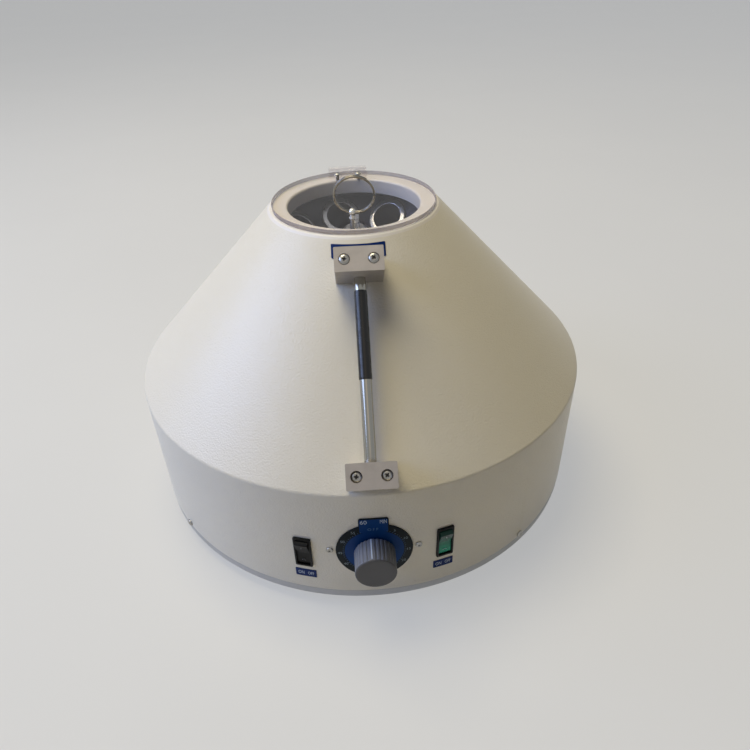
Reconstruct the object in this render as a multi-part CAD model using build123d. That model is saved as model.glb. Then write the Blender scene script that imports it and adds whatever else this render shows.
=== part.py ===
from build123d import *
from math import asin, atan2, cos, degrees, hypot, pi, radians, sin, sqrt, tan
import os

os.makedirs("parts", exist_ok=True)

# Bench centrifuge for milk fat tubes. Origin on the bench, under the middle of the body.
# +Z is up and the front, with the dial and the front handle, faces -Y. Sizes in millimetres.

# Housing
body_radius = 200.0
foot_clearance = 12.0
base_band = 8.0
skirt_height = 108.2
cone_height = 138.9
cone_top_radius = 70.0
sheet = 2.0
shoulder_radius = 4.0
weld_drop = 6.4
mouth_radius = 55.0
mouth_depth = 12.5
rim_round = 2.0
skirt_edge_round = 0.9

# Fits
seat_gap = 0.05
surface_gap = 0.1
running_gap = 0.05
hole_gap = 0.3
screw_gap = 0.15

# Base, feet and chamber floor
base_floor = 3.0
base_recess = 2.0
base_edge_round = 1.2
base_bend = 2.0
base_inset = 0.4
base_lip_height = 14.0
base_lip = 2.5
base_lip_gap = 0.5
base_rim_width = 10.0
foot_ring_radius = 168.0
foot_top_radius = 17.0
foot_bottom_radius = 14.0
foot_bore_radius = 6.0
foot_screw_radius = 2.5
foot_screw_head = 4.8
foot_screw_head_height = 3.0
foot_seat = 4.0
foot_edge_round = 1.5
foot_nut = (8.0, 4.0)
foot_screw_end = 6.0
vent_count = 12
vent_radius = 118.0
vent_size = (30.0, 6.0)
floor_top = 100.0
floor_radius = 187.0
floor_rim_height = 6.0
floor_bend = 2.5
floor_hole_margin = 4.0
post_ring_radius = 141.0
post_width = 12.0
post_screw_radius = 2.5
post_screw_head = 4.2
post_screw_head_heights = (2.4, 1.8)
post_screw_grip = 8.0
post_thread_depth = 12.0
shell_screw_height = 3.2
shell_screw_radius = 1.9
shell_screw_head = 3.1
shell_screw_head_height = 1.9
shell_screw_length = 7.0
shell_screw_middle = -7.3
shell_screw_half = 46.5

# Lid and its hardware
lid_radius = 68.0
lid_thickness = 3.5
lid_gap = 0.2
lid_edge = 0.4
hardware_shift = -3.5
hinge_width = 34.0
hinge_behind_rim = 1.8
hinge_above_lid = 0.5
barrel_radius = 2.5
hinge_pin_radius = 1.0
hinge_leaf = 1.2
leaf_corner = 3.0
leaf_edge_gap = 0.4
knuckle_clearance = 0.6
lid_leaf_length = 21.0
body_leaf_length = 16.0
lid_screw_spacing = 18.3
lid_screw_ring = 54.5
body_screw_slant = 9.5
hinge_screw_radius = 1.45
hinge_screw_head = 2.8
hinge_screw_head_height = 1.7
knuckle_gap = 0.3
centre_knuckle = 14.0
post_offset = 44.4
post_shift = -2.4
post_stem_radius = 1.8
post_collar = (0.9, 0.7)
post_eye_height = 4.9
post_ball_radius = 2.9
post_eye_radius = 1.75
post_thread_radius = 1.5
post_thread_length = 6.0
ring_radius = 16.0
ring_width = 1.6
ring_coil = 0.9
ring_coil_gap = 0.45
ring_turns = 1.85
ring_side_tilt = 8.0
ring_lean = 13.0

# Handles, measured up the slope of the cone from the shoulder
block_width = 35.0
block_length = 18.0
block_standoff = 30.0
block_round = 0.8
block_edge = 0.5
lower_block_slant = 14.5
front_block_drop = 26.7
rear_block_drop = 62.0
handle_rod_radius = 4.25
handle_rod_height = 12.0
handle_rod_socket = 6.0
grip_length = 64.0
grip_below_block = 9.5
grip_wall = 0.45
handle_screw_spacing = 20.6
handle_screw_radius = 2.5
handle_screw_head = 4.3
handle_screw_head_height = 2.6
counterbore_gap = 0.4
lower_counterbore = 3.4
upper_counterbore = 1.2
handle_nut_width = 8.0
handle_nut_height = 4.0

# Controls on the skirt, heights above the lower edge of the skirt
dial_height = 49.5
dial_radius = 29.0
dial_thickness = 1.0
dial_tab_width = 22.5
dial_tab_top = 35.7
dial_tab_round = 2.0
timer_case = (52.0, 36.0, 50.0)
timer_screw_spacing = 68.0
timer_screw_radius = 1.9
timer_screw_head = 3.4
timer_case_round = 5.0
timer_strap_width = 16.0
timer_strap_thickness = 2.0
timer_strap_arc = 12.0
timer_bush_radius = 4.5
timer_bush_inset = 0.5
timer_bore_depth = 21.6
timer_spindle_radius = 3.0
knob_radius = 15.0
knob_tip_radius = 14.2
knob_length = 22.0
knob_clearance = 1.0
knob_flutes = 28
knob_flute_depth = 0.55
knob_plain_tip = 2.2
knob_tip_round = 1.0
knob_bore_depth = 15.4
knob_back_hollow = (12.0, 1.5)
knob_rib = (0.9, 1.2)
switch_azimuth = 15.9
black_switch_height = 44.2
green_switch_height = 45.7
bezel_size = (14.0, 31.5)
bezel_thickness = 1.8
bezel_corner = 1.2
bezel_edge = 0.7
switch_body_size = (12.0, 28.2)
switch_depth = 23.0
switch_blade = (6.0, 0.8, 8.0)
switch_blade_pitch = 8.0
window_size = (10.8, 27.6)
window_depth = 9.0
rocker_width = 10.2
rocker_half_length = 13.4
rocker_tilt = 9.0
rocker_back = 5.0
rocker_pivot_depth = 3.6
rocker_pivot_radius = 1.5

# Inlet and fuse at the rear
inlet_height = 40.0
inlet_flange = (27.0, 50.0)
inlet_flange_thickness = 3.0
inlet_flange_corner = 5.0
inlet_body = (20.0, 27.6)
inlet_cavity = (16.4, 24.0)
inlet_depth = 17.0
inlet_wall = 2.5
inlet_cavity_chamfer = 4.0
inlet_tag_length = 8.0
inlet_pin = (4.0, 2.0, 13.0)
inlet_pin_pitch = 7.0
inlet_pin_drop = 2.0
inlet_screw_spacing = 40.0
fuse_azimuth = 167.0
fuse_body_radius = 6.2
fuse_flange_radius = 8.5
fuse_flange_front = 2.0
fuse_body_step = (1.2, 12.0)
fuse_slot = (1.4, 9.0, 2.4)
fuse_cap_radius = 6.8
fuse_cap_length = 9.0
fuse_depth = 34.0

# Motor
mount_height = 13.0
mount_radius = 11.0
mount_waist = 8.5
motor_plate = 128.0
motor_plate_thickness = 4.0
motor_plate_corner = 14.0
motor_mount_offset = 52.0
motor_radius = 58.0
motor_height = 56.0
motor_bell = 12.0
motor_bell_step = 3.0
motor_crown = 4.0
motor_boss_radius = 21.0
motor_boss_height = 4.0
shaft_radius = 6.0
bearing_radius = 16.0
bearing_width = 10.0
bearing_groove = (3.6, 0.8)
seal_gap = 1.0

# Rotor
sleeve_count = 8
rotor_phase = 12.0
sleeve_bore = 13.0
sleeve_wall = 1.5
sleeve_lip = 3.0
sleeve_lip_height = 3.2
sleeve_end_wall = 2.0
cushion_thickness = 3.0
cushion_step = 0.6
drain_radius = 2.5
axis_radius_at_collar = 36.5
sleeve_mouth_radius = 58.0
tube_tip_height = 265.0
tube_length = 200.0
bowl_thickness = 3.0
bowl_rim_radius = 73.0
bowl_bead = 2.0
bowl_flat_radius = 26.0
bowl_bend = 6.0
web_thickness = 3.0
web_height = 13.0
band_reach = 19.0
band_slant = 124.0
web_hole_radius = 14.0
web_hole_ring = 74.0
hub_radius = 15.0
hub_flange_radius = 32.0
hub_flange_thickness = 6.0
hub_nose_radius = 12.5
hub_nose_height = 36.0
hub_bolt_ring = 24.0
bowl_bolt_ring = 18.9
hub_bolts = 4
rotor_bolt_radius = 2.0
rotor_bolt_width = 7.0
rotor_bolt_head = 2.8
nut_width = 19.0
nut_height = 8.0
nut_dome = 4.0
stud_radius = 4.0
stud_length = 5.0

# Heights and slopes worked out from the sizes above
skirt_bottom = foot_clearance + base_band
shoulder = skirt_bottom + skirt_height
rim = shoulder + cone_height
cone_run = body_radius - cone_top_radius
slope = atan2(cone_height, cone_run)
slope_cos = cos(slope)
slope_sin = sin(slope)
slope_length = hypot(cone_run, cone_height)
sheet_run = sheet / slope_sin
base_under = foot_clearance + base_recess
base_top = base_under + base_floor
lid_bottom = rim + lid_gap
lid_top = lid_bottom + lid_thickness
dial_z = skirt_bottom + dial_height


def turned(corners):
    """Ring or disc turned about Z from (radius, height) corners."""
    return revolve(Plane.XZ * make_face(Polyline(*corners, close=True)), Axis.Z)


def rounded_turned(corners, rounds):
    """As turned, with some corners of the section rounded: {corner number: radius}."""
    face = make_face(Polyline(*corners, close=True))
    for number, size in rounds.items():
        spot = Vector(*corners[number])
        corner = min(face.vertices(), key=lambda v: (Vector(*v) - spot).length)
        face = fillet(corner, size)
    return revolve(Plane.XZ * face, Axis.Z)


def spin(azimuth):
    """Turns a piece made at the front to another azimuth, positive towards +X."""
    return Rot(0, 0, azimuth)


def outward(azimuth, radius, height):
    """Plane on the skirt: its Z points outward, its Y up."""
    front = Plane(origin=(0, -radius, height), x_dir=(1, 0, 0), z_dir=(0, -1, 0))
    return spin(azimuth) * front.location


def on_slope(x, slant, depth=0.0, azimuth=0.0):
    """Place on the cone: Z along its outward normal, Y up the slope."""
    start = Plane(
        origin=(0, -body_radius, shoulder),
        x_dir=(1, 0, 0),
        z_dir=(0, -slope_sin, slope_cos),
    )
    return spin(azimuth) * start.location * Pos(x, slant, depth)


def group(pieces):
    """Several separate solids kept in one node."""
    solids = []
    for piece in pieces:
        solids += piece.solids()
    return Compound(children=solids)


def save(name, piece):
    export_step(piece, "parts/" + name + ".step")


def cross_recess(head_radius, head_height):
    """Cross slot sunk in a screw's head, as a cutter."""
    blade = 0.22 * head_radius
    reach = 1.15 * head_radius
    depth = 0.55 * head_height
    bar = Box(reach, blade, 2 * depth) + Box(blade, reach, 2 * depth)
    return Pos(0, 0, head_height) * bar


def pan_screw(radius, head_radius, head_height, length):
    """Pan head screw: head above Z = 0, shank below."""
    edge = 0.35 * head_height
    outline = [
        Line((0, -length), (radius, -length)),
        Line((radius, -length), (radius, 0)),
        Line((radius, 0), (head_radius, 0)),
        Line((head_radius, 0), (head_radius, edge)),
        ThreePointArc(
            (head_radius, edge),
            (0.72 * head_radius, 0.84 * head_height),
            (0, head_height),
        ),
        Line((0, head_height), (0, -length)),
    ]
    body = revolve(Plane.XZ * make_face(outline), Axis.Z)
    return body - cross_recess(head_radius, head_height)


def hexagon(width, height):
    """Hexagonal bar with its base at Z = 0."""
    flat = RegularPolygon(width / sqrt(3), 6)
    return extrude(flat, height)


def hex_nut(width, height, bore):
    return hexagon(width, height) - Pos(0, 0, height / 2) * Cylinder(bore, 2 * height)


def drill(radius, depth):
    """Straight hole cutter, equally long both ways from Z = 0."""
    return Cylinder(radius, 2 * depth)


def envelope(offset):
    """Solid bounded by the outside of skirt and cone, grown outward by offset."""
    side = body_radius + offset
    lift = offset * tan((pi / 2 - slope) / 2)
    top = cone_top_radius + offset / slope_sin
    return turned(
        [
            (0, skirt_bottom),
            (side, skirt_bottom),
            (side, shoulder + lift),
            (top, rim),
            (top, rim + 40),
            (0, rim + 40),
        ]
    )


# Where things go

weld_height = shoulder - weld_drop
shell_screw_azimuths = [
    turn + shell_screw_middle + side * shell_screw_half
    for turn in (0, 180)
    for side in (-1, 1)
]
shell_screw_z = skirt_bottom + shell_screw_height
corner_azimuths = [45 + 90 * k for k in range(4)]
switch_places = {
    "black": (-switch_azimuth, skirt_bottom + black_switch_height),
    "green": (switch_azimuth, skirt_bottom + green_switch_height),
}
inlet_z = skirt_bottom + inlet_height
# Each handle's azimuth and how far up the slope the middle of its upper block is.
handles = {
    "front": (0, slope_length - front_block_drop),
    "rear": (180, slope_length - rear_block_drop),
}


# Housing

def housing_skirt():
    """Rolled sheet skirt with the openings for the controls and the inlet."""
    inner = body_radius - sheet
    shell = rounded_turned(
        [
            (inner, skirt_bottom),
            (body_radius, skirt_bottom),
            (body_radius, weld_height),
            (inner, weld_height),
        ],
        {1: skirt_edge_round},
    )
    for azimuth in shell_screw_azimuths:
        shell -= outward(azimuth, body_radius, shell_screw_z) * drill(
            shell_screw_radius + hole_gap, 2 * sheet
        )
    shell -= outward(0, body_radius, dial_z) * drill(timer_bush_radius + hole_gap, 3 * sheet)
    for azimuth in timer_screw_azimuths():
        shell -= outward(azimuth, body_radius, dial_z) * drill(
            timer_screw_radius + hole_gap, 3 * sheet
        )
    for azimuth, height in switch_places.values():
        width, tall = switch_body_size
        shell -= outward(azimuth, body_radius, height) * Box(
            width + 2 * hole_gap, tall + 2 * hole_gap, 6 * sheet
        )
    width, tall = inlet_body
    shell -= outward(180, body_radius, inlet_z) * Box(
        width + 2 * hole_gap, tall + 2 * hole_gap, 6 * sheet
    )
    for side in (-1, 1):
        shell -= outward(180, body_radius, inlet_z + side * inlet_screw_spacing / 2) * drill(
            hinge_screw_radius + hole_gap, 3 * sheet
        )
    shell -= outward(fuse_azimuth, body_radius, inlet_z) * drill(
        fuse_body_radius + hole_gap, 3 * sheet
    )
    return shell


def housing_cone():
    """Spun cone with a rounded shoulder and a short lip that meets the skirt."""
    inner = body_radius - sheet
    inner_shoulder = shoulder - sheet * tan((pi / 2 - slope) / 2)
    top = rim - sheet
    top_radius = cone_top_radius + sheet / tan(slope)
    shell = rounded_turned(
        [
            (inner, weld_height),
            (body_radius, weld_height),
            (body_radius, shoulder),
            (top_radius, top),
            (top_radius - sheet_run, top),
            (inner, inner_shoulder),
        ],
        {2: shoulder_radius, 5: shoulder_radius - sheet},
    )
    for azimuth, upper_slant in handles.values():
        for x, slant in handle_screw_places(upper_slant):
            shell -= on_slope(x, slant, 0, azimuth) * drill(
                handle_screw_radius + hole_gap, 3 * sheet
            )
    for side in (-1, 1):
        shell -= hinge_leaf_screw_place(side) * drill(
            hinge_screw_radius + hole_gap / 2, 3 * sheet
        )
    return shell


def mouth_ring():
    """Flat flange round the loading mouth, turned down into a short collar."""
    under = rim - sheet
    outer = cone_top_radius + sheet / tan(slope)
    return rounded_turned(
        [
            (mouth_radius, rim - mouth_depth),
            (mouth_radius + sheet, rim - mouth_depth),
            (mouth_radius + sheet, under),
            (outer, under),
            (cone_top_radius, rim),
            (mouth_radius, rim),
        ],
        {4: rim_round, 5: rim_round},
    )


def shell_screws():
    screw = pan_screw(
        shell_screw_radius, shell_screw_head, shell_screw_head_height, shell_screw_length
    )
    return group(
        [
            outward(azimuth, body_radius, shell_screw_z) * screw
            for azimuth in shell_screw_azimuths
        ]
    )


def base_plate():
    """Pressed base with a deep rim, a lip inside the skirt and vent slots."""
    edge = body_radius - base_inset
    lip = body_radius - sheet - base_lip_gap
    plate = rounded_turned(
        [
            (0, base_under),
            (edge - base_rim_width, base_under),
            (edge - base_rim_width, foot_clearance),
            (edge, foot_clearance),
            (edge, skirt_bottom),
            (lip, skirt_bottom),
            (lip, skirt_bottom + base_lip_height),
            (lip - base_lip, skirt_bottom + base_lip_height),
            (lip - base_lip, base_top),
            (0, base_top),
        ],
        {3: base_edge_round, 8: base_bend},
    )
    for k in range(vent_count):
        slot = extrude(SlotOverall(*vent_size), 4 * base_floor, both=True)
        plate -= spin(360 * (k + 0.5) / vent_count) * Pos(0, -vent_radius, base_under) * slot
    for azimuth in corner_azimuths:
        plate -= spin(azimuth) * Pos(0, -foot_ring_radius, base_top) * drill(
            foot_screw_radius + hole_gap, 3 * base_floor
        )
        plate -= spin(azimuth) * Pos(0, -post_ring_radius, base_top) * drill(
            post_screw_radius + hole_gap, 3 * base_floor
        )
    for azimuth in shell_screw_azimuths:
        plate -= outward(azimuth, lip, shell_screw_z) * drill(
            shell_screw_radius + running_gap, 2 * base_lip
        )
    return plate


def rubber_feet():
    """Four tapered rubber feet with a pocket for the screw's head."""
    shape = rounded_turned(
        [
            (foot_screw_radius + hole_gap, foot_seat),
            (foot_bore_radius, foot_seat),
            (foot_bore_radius, 0),
            (foot_bottom_radius, 0),
            (foot_top_radius, base_under),
            (foot_screw_radius + hole_gap, base_under),
        ],
        {3: foot_edge_round},
    )
    return group([spin(a) * Pos(0, -foot_ring_radius, 0) * shape for a in corner_azimuths])


def foot_screws():
    """Four screws up through the feet, with nuts on the base plate."""
    length = base_top - foot_seat + foot_screw_end
    screw = pan_screw(foot_screw_radius, foot_screw_head, foot_screw_head_height, length)
    nut = hex_nut(*foot_nut, foot_screw_radius + running_gap)
    pieces = []
    for azimuth in corner_azimuths:
        place = spin(azimuth) * Pos(0, -foot_ring_radius, 0)
        pieces.append(place * Pos(0, 0, foot_seat) * Rot(180, 0, 0) * screw)
        pieces.append(place * Pos(0, 0, base_top) * nut)
    return group(pieces)


def chamber_floor():
    """Sheet floor of the rotor chamber, with a turned up edge."""
    under = floor_top - sheet
    hole = motor_boss_radius + floor_hole_margin
    floor = rounded_turned(
        [
            (hole, under),
            (floor_radius, under),
            (floor_radius, floor_top + floor_rim_height),
            (floor_radius - sheet, floor_top + floor_rim_height),
            (floor_radius - sheet, floor_top),
            (hole, floor_top),
        ],
        {1: floor_bend},
    )
    for azimuth in corner_azimuths:
        floor -= spin(azimuth) * Pos(0, -post_ring_radius, floor_top) * drill(
            post_screw_radius + hole_gap, 3 * sheet
        )
    return floor


def floor_posts():
    """Hexagonal posts from the base to the chamber floor, with a screw at each end."""
    under = floor_top - sheet
    tall = under - base_top
    post = hexagon(post_width, tall)
    post -= drill(post_screw_radius + running_gap, post_thread_depth)
    post -= Pos(0, 0, tall) * drill(post_screw_radius + running_gap, post_thread_depth)
    top_head, low_head = post_screw_head_heights
    top_screw = pan_screw(
        post_screw_radius, post_screw_head, top_head, sheet + post_screw_grip
    )
    low_screw = pan_screw(
        post_screw_radius, post_screw_head, low_head, base_floor + post_screw_grip
    )
    pieces = []
    for azimuth in corner_azimuths:
        place = spin(azimuth) * Pos(0, -post_ring_radius, 0)
        pieces.append(place * Pos(0, 0, base_top) * post)
        pieces.append(place * Pos(0, 0, floor_top) * top_screw)
        pieces.append(place * Pos(0, 0, base_under) * Rot(180, 0, 0) * low_screw)
    return group(pieces)


# Lid, hinge, post and ring

hinge_y = cone_top_radius + hinge_behind_rim
hinge_z = lid_top + hinge_above_lid
hinge_axis_place = Pos(hardware_shift, hinge_y, hinge_z) * Rot(0, 90, 0)


def hinge_leaf_screw_place(side):
    """Screw place of the fixed leaf, on the cone behind the lid."""
    slant = slope_length - body_screw_slant
    return on_slope(-hardware_shift + side * lid_screw_spacing / 2, slant, 0, 180)


def lid_screw_place(side):
    x = hardware_shift + side * lid_screw_spacing / 2
    return Pos(x, lid_screw_ring, lid_top)


def ring_post_place():
    return Pos(post_shift, -post_offset, lid_top)


def lid_disc():
    """Clear disc with broken edges, drilled for the hinge and the post."""
    disc = Pos(0, 0, lid_bottom + lid_thickness / 2) * Cylinder(lid_radius, lid_thickness)
    disc = chamfer(disc.edges().filter_by(GeomType.CIRCLE), lid_edge)
    for side in (-1, 1):
        disc -= lid_screw_place(side) * drill(hinge_screw_radius + running_gap, 2 * lid_thickness)
    return disc - ring_post_place() * drill(post_thread_radius + running_gap, 2 * lid_thickness)


def knuckle(start, end):
    """Length of hinge barrel between two places along the hinge's axis."""
    bar = Cylinder(barrel_radius, end - start) - Cylinder(
        hinge_pin_radius + running_gap, end - start
    )
    return hinge_axis_place * Pos(0, 0, (start + end) / 2) * bar


def hinge_leaf_lid():
    """Leaf screwed on the lid, with the middle knuckle."""
    half = centre_knuckle / 2
    front = hinge_y - barrel_radius - lid_leaf_length
    back = hinge_y - leaf_edge_gap
    plate = Box(hinge_width, back - front, hinge_leaf)
    plate = fillet(
        [e for e in plate.edges().filter_by(Axis.Z) if e.center().Y < 0], leaf_corner
    )
    leaf = Pos(hardware_shift, (front + back) / 2, lid_top + hinge_leaf / 2) * plate
    for side in (-1, 1):
        wide = hinge_width / 2 - half + 1
        cut = Box(wide, 2 * (barrel_radius + knuckle_clearance + 0.2), 4 * barrel_radius)
        middle = half + knuckle_gap / 2 + wide / 2
        leaf -= Pos(hardware_shift + side * middle, hinge_y, hinge_z) * cut
    leaf += knuckle(-half, half)
    leaf -= hinge_axis_place * Cylinder(hinge_pin_radius + running_gap, hinge_width)
    for side in (-1, 1):
        leaf -= lid_screw_place(side) * drill(hinge_screw_radius + screw_gap, 3 * hinge_leaf)
    return leaf


def hinge_leaf_body():
    """Leaf rolled to the cone behind the lid, with the two outer knuckles."""
    half = hinge_width / 2
    band = turned(
        [
            slope_point(slope_length - body_leaf_length, seat_gap),
            slope_point(slope_length - body_leaf_length, seat_gap + hinge_leaf),
            slope_point(slope_length + leaf_edge_gap, seat_gap + hinge_leaf),
            slope_point(slope_length + leaf_edge_gap, seat_gap),
        ]
    )
    keep = Pos(hardware_shift, hinge_y + 20, rim - 20) * Box(hinge_width, 60, 60)
    leaf = band & keep
    for start, end in ((-half, -gapped_half()), (gapped_half(), half)):
        web = Box(end - start, 2.0, 5.4)
        middle = hardware_shift + (start + end) / 2
        leaf += Pos(middle, hinge_y + 0.9, hinge_z - 3.2) * web
        leaf += knuckle(start, end)
    leaf -= hinge_axis_place * Cylinder(hinge_pin_radius + seat_gap / 2, hinge_width + 2)
    leaf -= hinge_axis_place * Cylinder(
        barrel_radius + knuckle_clearance, centre_knuckle + knuckle_gap
    )
    for side in (-1, 1):
        leaf -= hinge_leaf_screw_place(side) * drill(
            hinge_screw_radius + screw_gap, 4 * hinge_leaf
        )
    return leaf


def gapped_half():
    return centre_knuckle / 2 + knuckle_gap


def slope_point(slant, depth):
    """(radius, height) of a point up the cone's slope and out from its surface."""
    return (
        body_radius - slant * slope_cos + depth * slope_sin,
        shoulder + slant * slope_sin + depth * slope_cos,
    )


def hinge_pin():
    """Pin through the three knuckles, with a rounded end each side."""
    pin = Cylinder(hinge_pin_radius, hinge_width + 1.6)
    pin = fillet(pin.edges().filter_by(GeomType.CIRCLE), 0.5)
    return hinge_axis_place * pin


def hinge_lid_screws():
    screw = pan_screw(
        hinge_screw_radius,
        hinge_screw_head,
        hinge_screw_head_height,
        hinge_leaf + lid_thickness,
    )
    return group(
        [lid_screw_place(side) * Pos(0, 0, hinge_leaf) * screw for side in (-1, 1)]
    )


def hinge_body_screws():
    lift = seat_gap + hinge_leaf
    screw = pan_screw(
        hinge_screw_radius, hinge_screw_head, hinge_screw_head_height, lift + 2 * sheet
    )
    return group(
        [hinge_leaf_screw_place(side) * Pos(0, 0, lift) * screw for side in (-1, 1)]
    )


ring_middle_radius = ring_radius - ring_width / 2
ring_eye = ring_post_place() * Pos(0, 0, post_eye_height)
# X of this place runs through the eye, Y points to the ring's middle.
ring_place = ring_eye * Rot(0, ring_side_tilt, 0) * Rot(90 + ring_lean, 0, 0)


def ring_post():
    """Stud through the lid with a ball head, cross drilled for the ring."""
    collar, collar_height = post_collar
    stem = turned(
        [
            (0, -lid_thickness - post_thread_length),
            (post_thread_radius, -lid_thickness - post_thread_length),
            (post_thread_radius, 0),
            (post_stem_radius + collar, 0),
            (post_stem_radius + collar, collar_height),
            (post_stem_radius, collar_height + 0.2),
            (post_stem_radius, post_eye_height),
            (0, post_eye_height),
        ]
    )
    post = ring_post_place() * stem
    post += ring_eye * Sphere(post_ball_radius)
    eye = Rot(0, 90, 0) * Cylinder(post_eye_radius, 4 * post_ball_radius)
    return post - ring_eye * Rot(0, ring_side_tilt, 0) * eye


def pull_ring():
    """Split ring of flat wire, almost two turns, threaded through the post's eye."""
    pitch = ring_coil + ring_coil_gap
    rise = pitch * ring_turns
    path = Helix(pitch=pitch, height=rise, radius=ring_middle_radius)
    start = Plane(origin=path @ 0, x_dir=(1, 0, 0), z_dir=path % 0)
    section = start * RectangleRounded(ring_width, ring_coil, 0.2)
    coil = sweep(section, path=path, is_frenet=True)
    return ring_place * Pos(0, ring_middle_radius, 0) * Rot(0, 0, 60) * Pos(0, 0, -rise / 2) * coil


# Handles

def handle_screw_places(upper_slant):
    """(x, slant) of the four screws that hold a handle."""
    return [
        (side * handle_screw_spacing / 2, slant)
        for slant in (lower_block_slant, upper_slant)
        for side in (-1, 1)
    ]


def handle_block(slant, counterbore, azimuth):
    """Aluminium block, hollowed under to sit on the cone, with two counterbored holes."""
    sunk = 4.0
    tall = block_standoff + sunk
    block = Box(block_width, block_length, tall)
    block = fillet(block.edges().filter_by(Axis.Z), block_round)
    block = chamfer(block.faces().sort_by(Axis.Z)[-1].edges(), block_edge)
    block = Pos(0, 0, tall / 2 - sunk) * block
    for side in (-1, 1):
        place = Pos(side * handle_screw_spacing / 2, 0, 0)
        block -= place * drill(handle_screw_radius + hole_gap, 2 * block_standoff)
        bore = Cylinder(handle_screw_head + counterbore_gap, 2 * counterbore)
        block -= place * Pos(0, 0, block_standoff) * bore
    toward = 1 if slant == lower_block_slant else -1
    socket = Rot(90, 0, 0) * Cylinder(handle_rod_radius + seat_gap, 2 * handle_rod_socket)
    block -= Pos(0, toward * block_length / 2, handle_rod_height) * socket
    placed = on_slope(0, slant, 0, azimuth) * block
    return placed - envelope(surface_gap)


def handle_rod(azimuth, upper_slant):
    """Chromed bar between the two blocks."""
    start = lower_block_slant + block_length / 2 - handle_rod_socket
    end = upper_slant - block_length / 2 + handle_rod_socket
    rod = Rot(90, 0, 0) * Cylinder(handle_rod_radius, end - start)
    return on_slope(0, (start + end) / 2, handle_rod_height, azimuth) * rod


def handle_grip(azimuth, upper_slant):
    """Thin black sleeve round the bar, near the upper block."""
    outside = Cylinder(handle_rod_radius + grip_wall, grip_length)
    outside = fillet(outside.edges().filter_by(GeomType.CIRCLE), grip_wall / 2)
    sleeve = outside - Cylinder(handle_rod_radius + seat_gap / 2, 2 * grip_length)
    middle = upper_slant - block_length / 2 - grip_below_block - grip_length / 2
    return on_slope(0, middle, handle_rod_height, azimuth) * Rot(90, 0, 0) * sleeve


def handle_screws(azimuth, upper_slant):
    """Four screws through the blocks, with nuts behind the cone."""
    nut = hex_nut(handle_nut_width, handle_nut_height, handle_screw_radius + running_gap)
    pieces = []
    for x, slant in handle_screw_places(upper_slant):
        sunk = lower_counterbore if slant == lower_block_slant else upper_counterbore
        seat = block_standoff - sunk
        bend = (body_radius - slant * slope_cos) / slope_sin
        dip = (abs(x) + handle_nut_width / sqrt(3)) ** 2 / (2 * bend)
        length = seat + sheet + dip + handle_nut_height + 2.0
        screw = pan_screw(
            handle_screw_radius, handle_screw_head, handle_screw_head_height, length
        )
        pieces.append(on_slope(x, slant, seat, azimuth) * screw)
        behind = -sheet - dip - seat_gap - handle_nut_height
        pieces.append(on_slope(x, slant, behind, azimuth) * nut)
    return group(pieces)


# Timer and its dial

def timer_screw_azimuths():
    turn = degrees(asin(timer_screw_spacing / 2 / body_radius))
    return (-turn, turn)


def dial_plate():
    """Round scale plate with a tab on top, rolled to the skirt."""
    outer = body_radius + surface_gap + dial_thickness
    inner = body_radius + surface_gap
    shell = Cylinder(outer, 120) - Cylinder(inner, 130)
    tab_bottom = dial_radius * 0.6
    tab = RectangleRounded(
        dial_tab_width, dial_tab_top - tab_bottom + 4, dial_tab_round
    )
    outline = Circle(dial_radius) + Pos(0, (dial_tab_top + tab_bottom - 4) / 2) * tab
    outline -= Circle(timer_bush_radius + hole_gap)
    through = Pos(0, -body_radius / 2, 0) * Rot(90, 0, 0) * extrude(outline, body_radius)
    return Pos(0, 0, dial_z) * (shell & through)


def timer_body():
    """Clockwork timer's case on a strap rolled to the inside of the skirt."""
    inner = body_radius - sheet
    strap_outer = inner - surface_gap
    strap_inner = strap_outer - timer_strap_thickness
    wide, deep, tall = timer_case
    front = strap_inner - timer_strap_thickness
    case = Box(wide, deep, tall)
    case = fillet(case.edges().filter_by(Axis.Y), timer_case_round)
    body = Pos(0, -front + deep / 2, dial_z) * case
    strap = Cylinder(strap_outer, timer_strap_width) - Cylinder(strap_inner, 60)
    half = 2 * strap_outer * tan(radians(timer_strap_arc))
    strap &= Pos(0, -body_radius, 0) * Box(half, 100, timer_strap_width)
    body += Pos(0, 0, dial_z) * strap
    bush_front = body_radius - timer_bush_inset
    bush = Rot(90, 0, 0) * Cylinder(timer_bush_radius, bush_front - front + 2)
    body += Pos(0, -(bush_front + front - 2) / 2, dial_z) * bush
    bore = Rot(90, 0, 0) * Cylinder(timer_spindle_radius + running_gap, 2 * timer_bore_depth)
    body -= Pos(0, -bush_front, dial_z) * bore
    for azimuth in timer_screw_azimuths():
        body -= outward(azimuth, strap_outer, dial_z) * drill(
            timer_screw_radius + running_gap, 2 * timer_strap_thickness
        )
    return body


def timer_spindle():
    """Spindle from inside the timer into the knob."""
    back = body_radius - timer_bush_inset - timer_bore_depth + knob_clearance
    front = knob_back() + knob_bore_depth
    bar = Rot(90, 0, 0) * Cylinder(timer_spindle_radius, front - back)
    return Pos(0, -(front + back) / 2, dial_z) * bar


def knob_back():
    """Distance of the knob's back from the body's middle."""
    return body_radius + surface_gap + dial_thickness + knob_clearance


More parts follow.
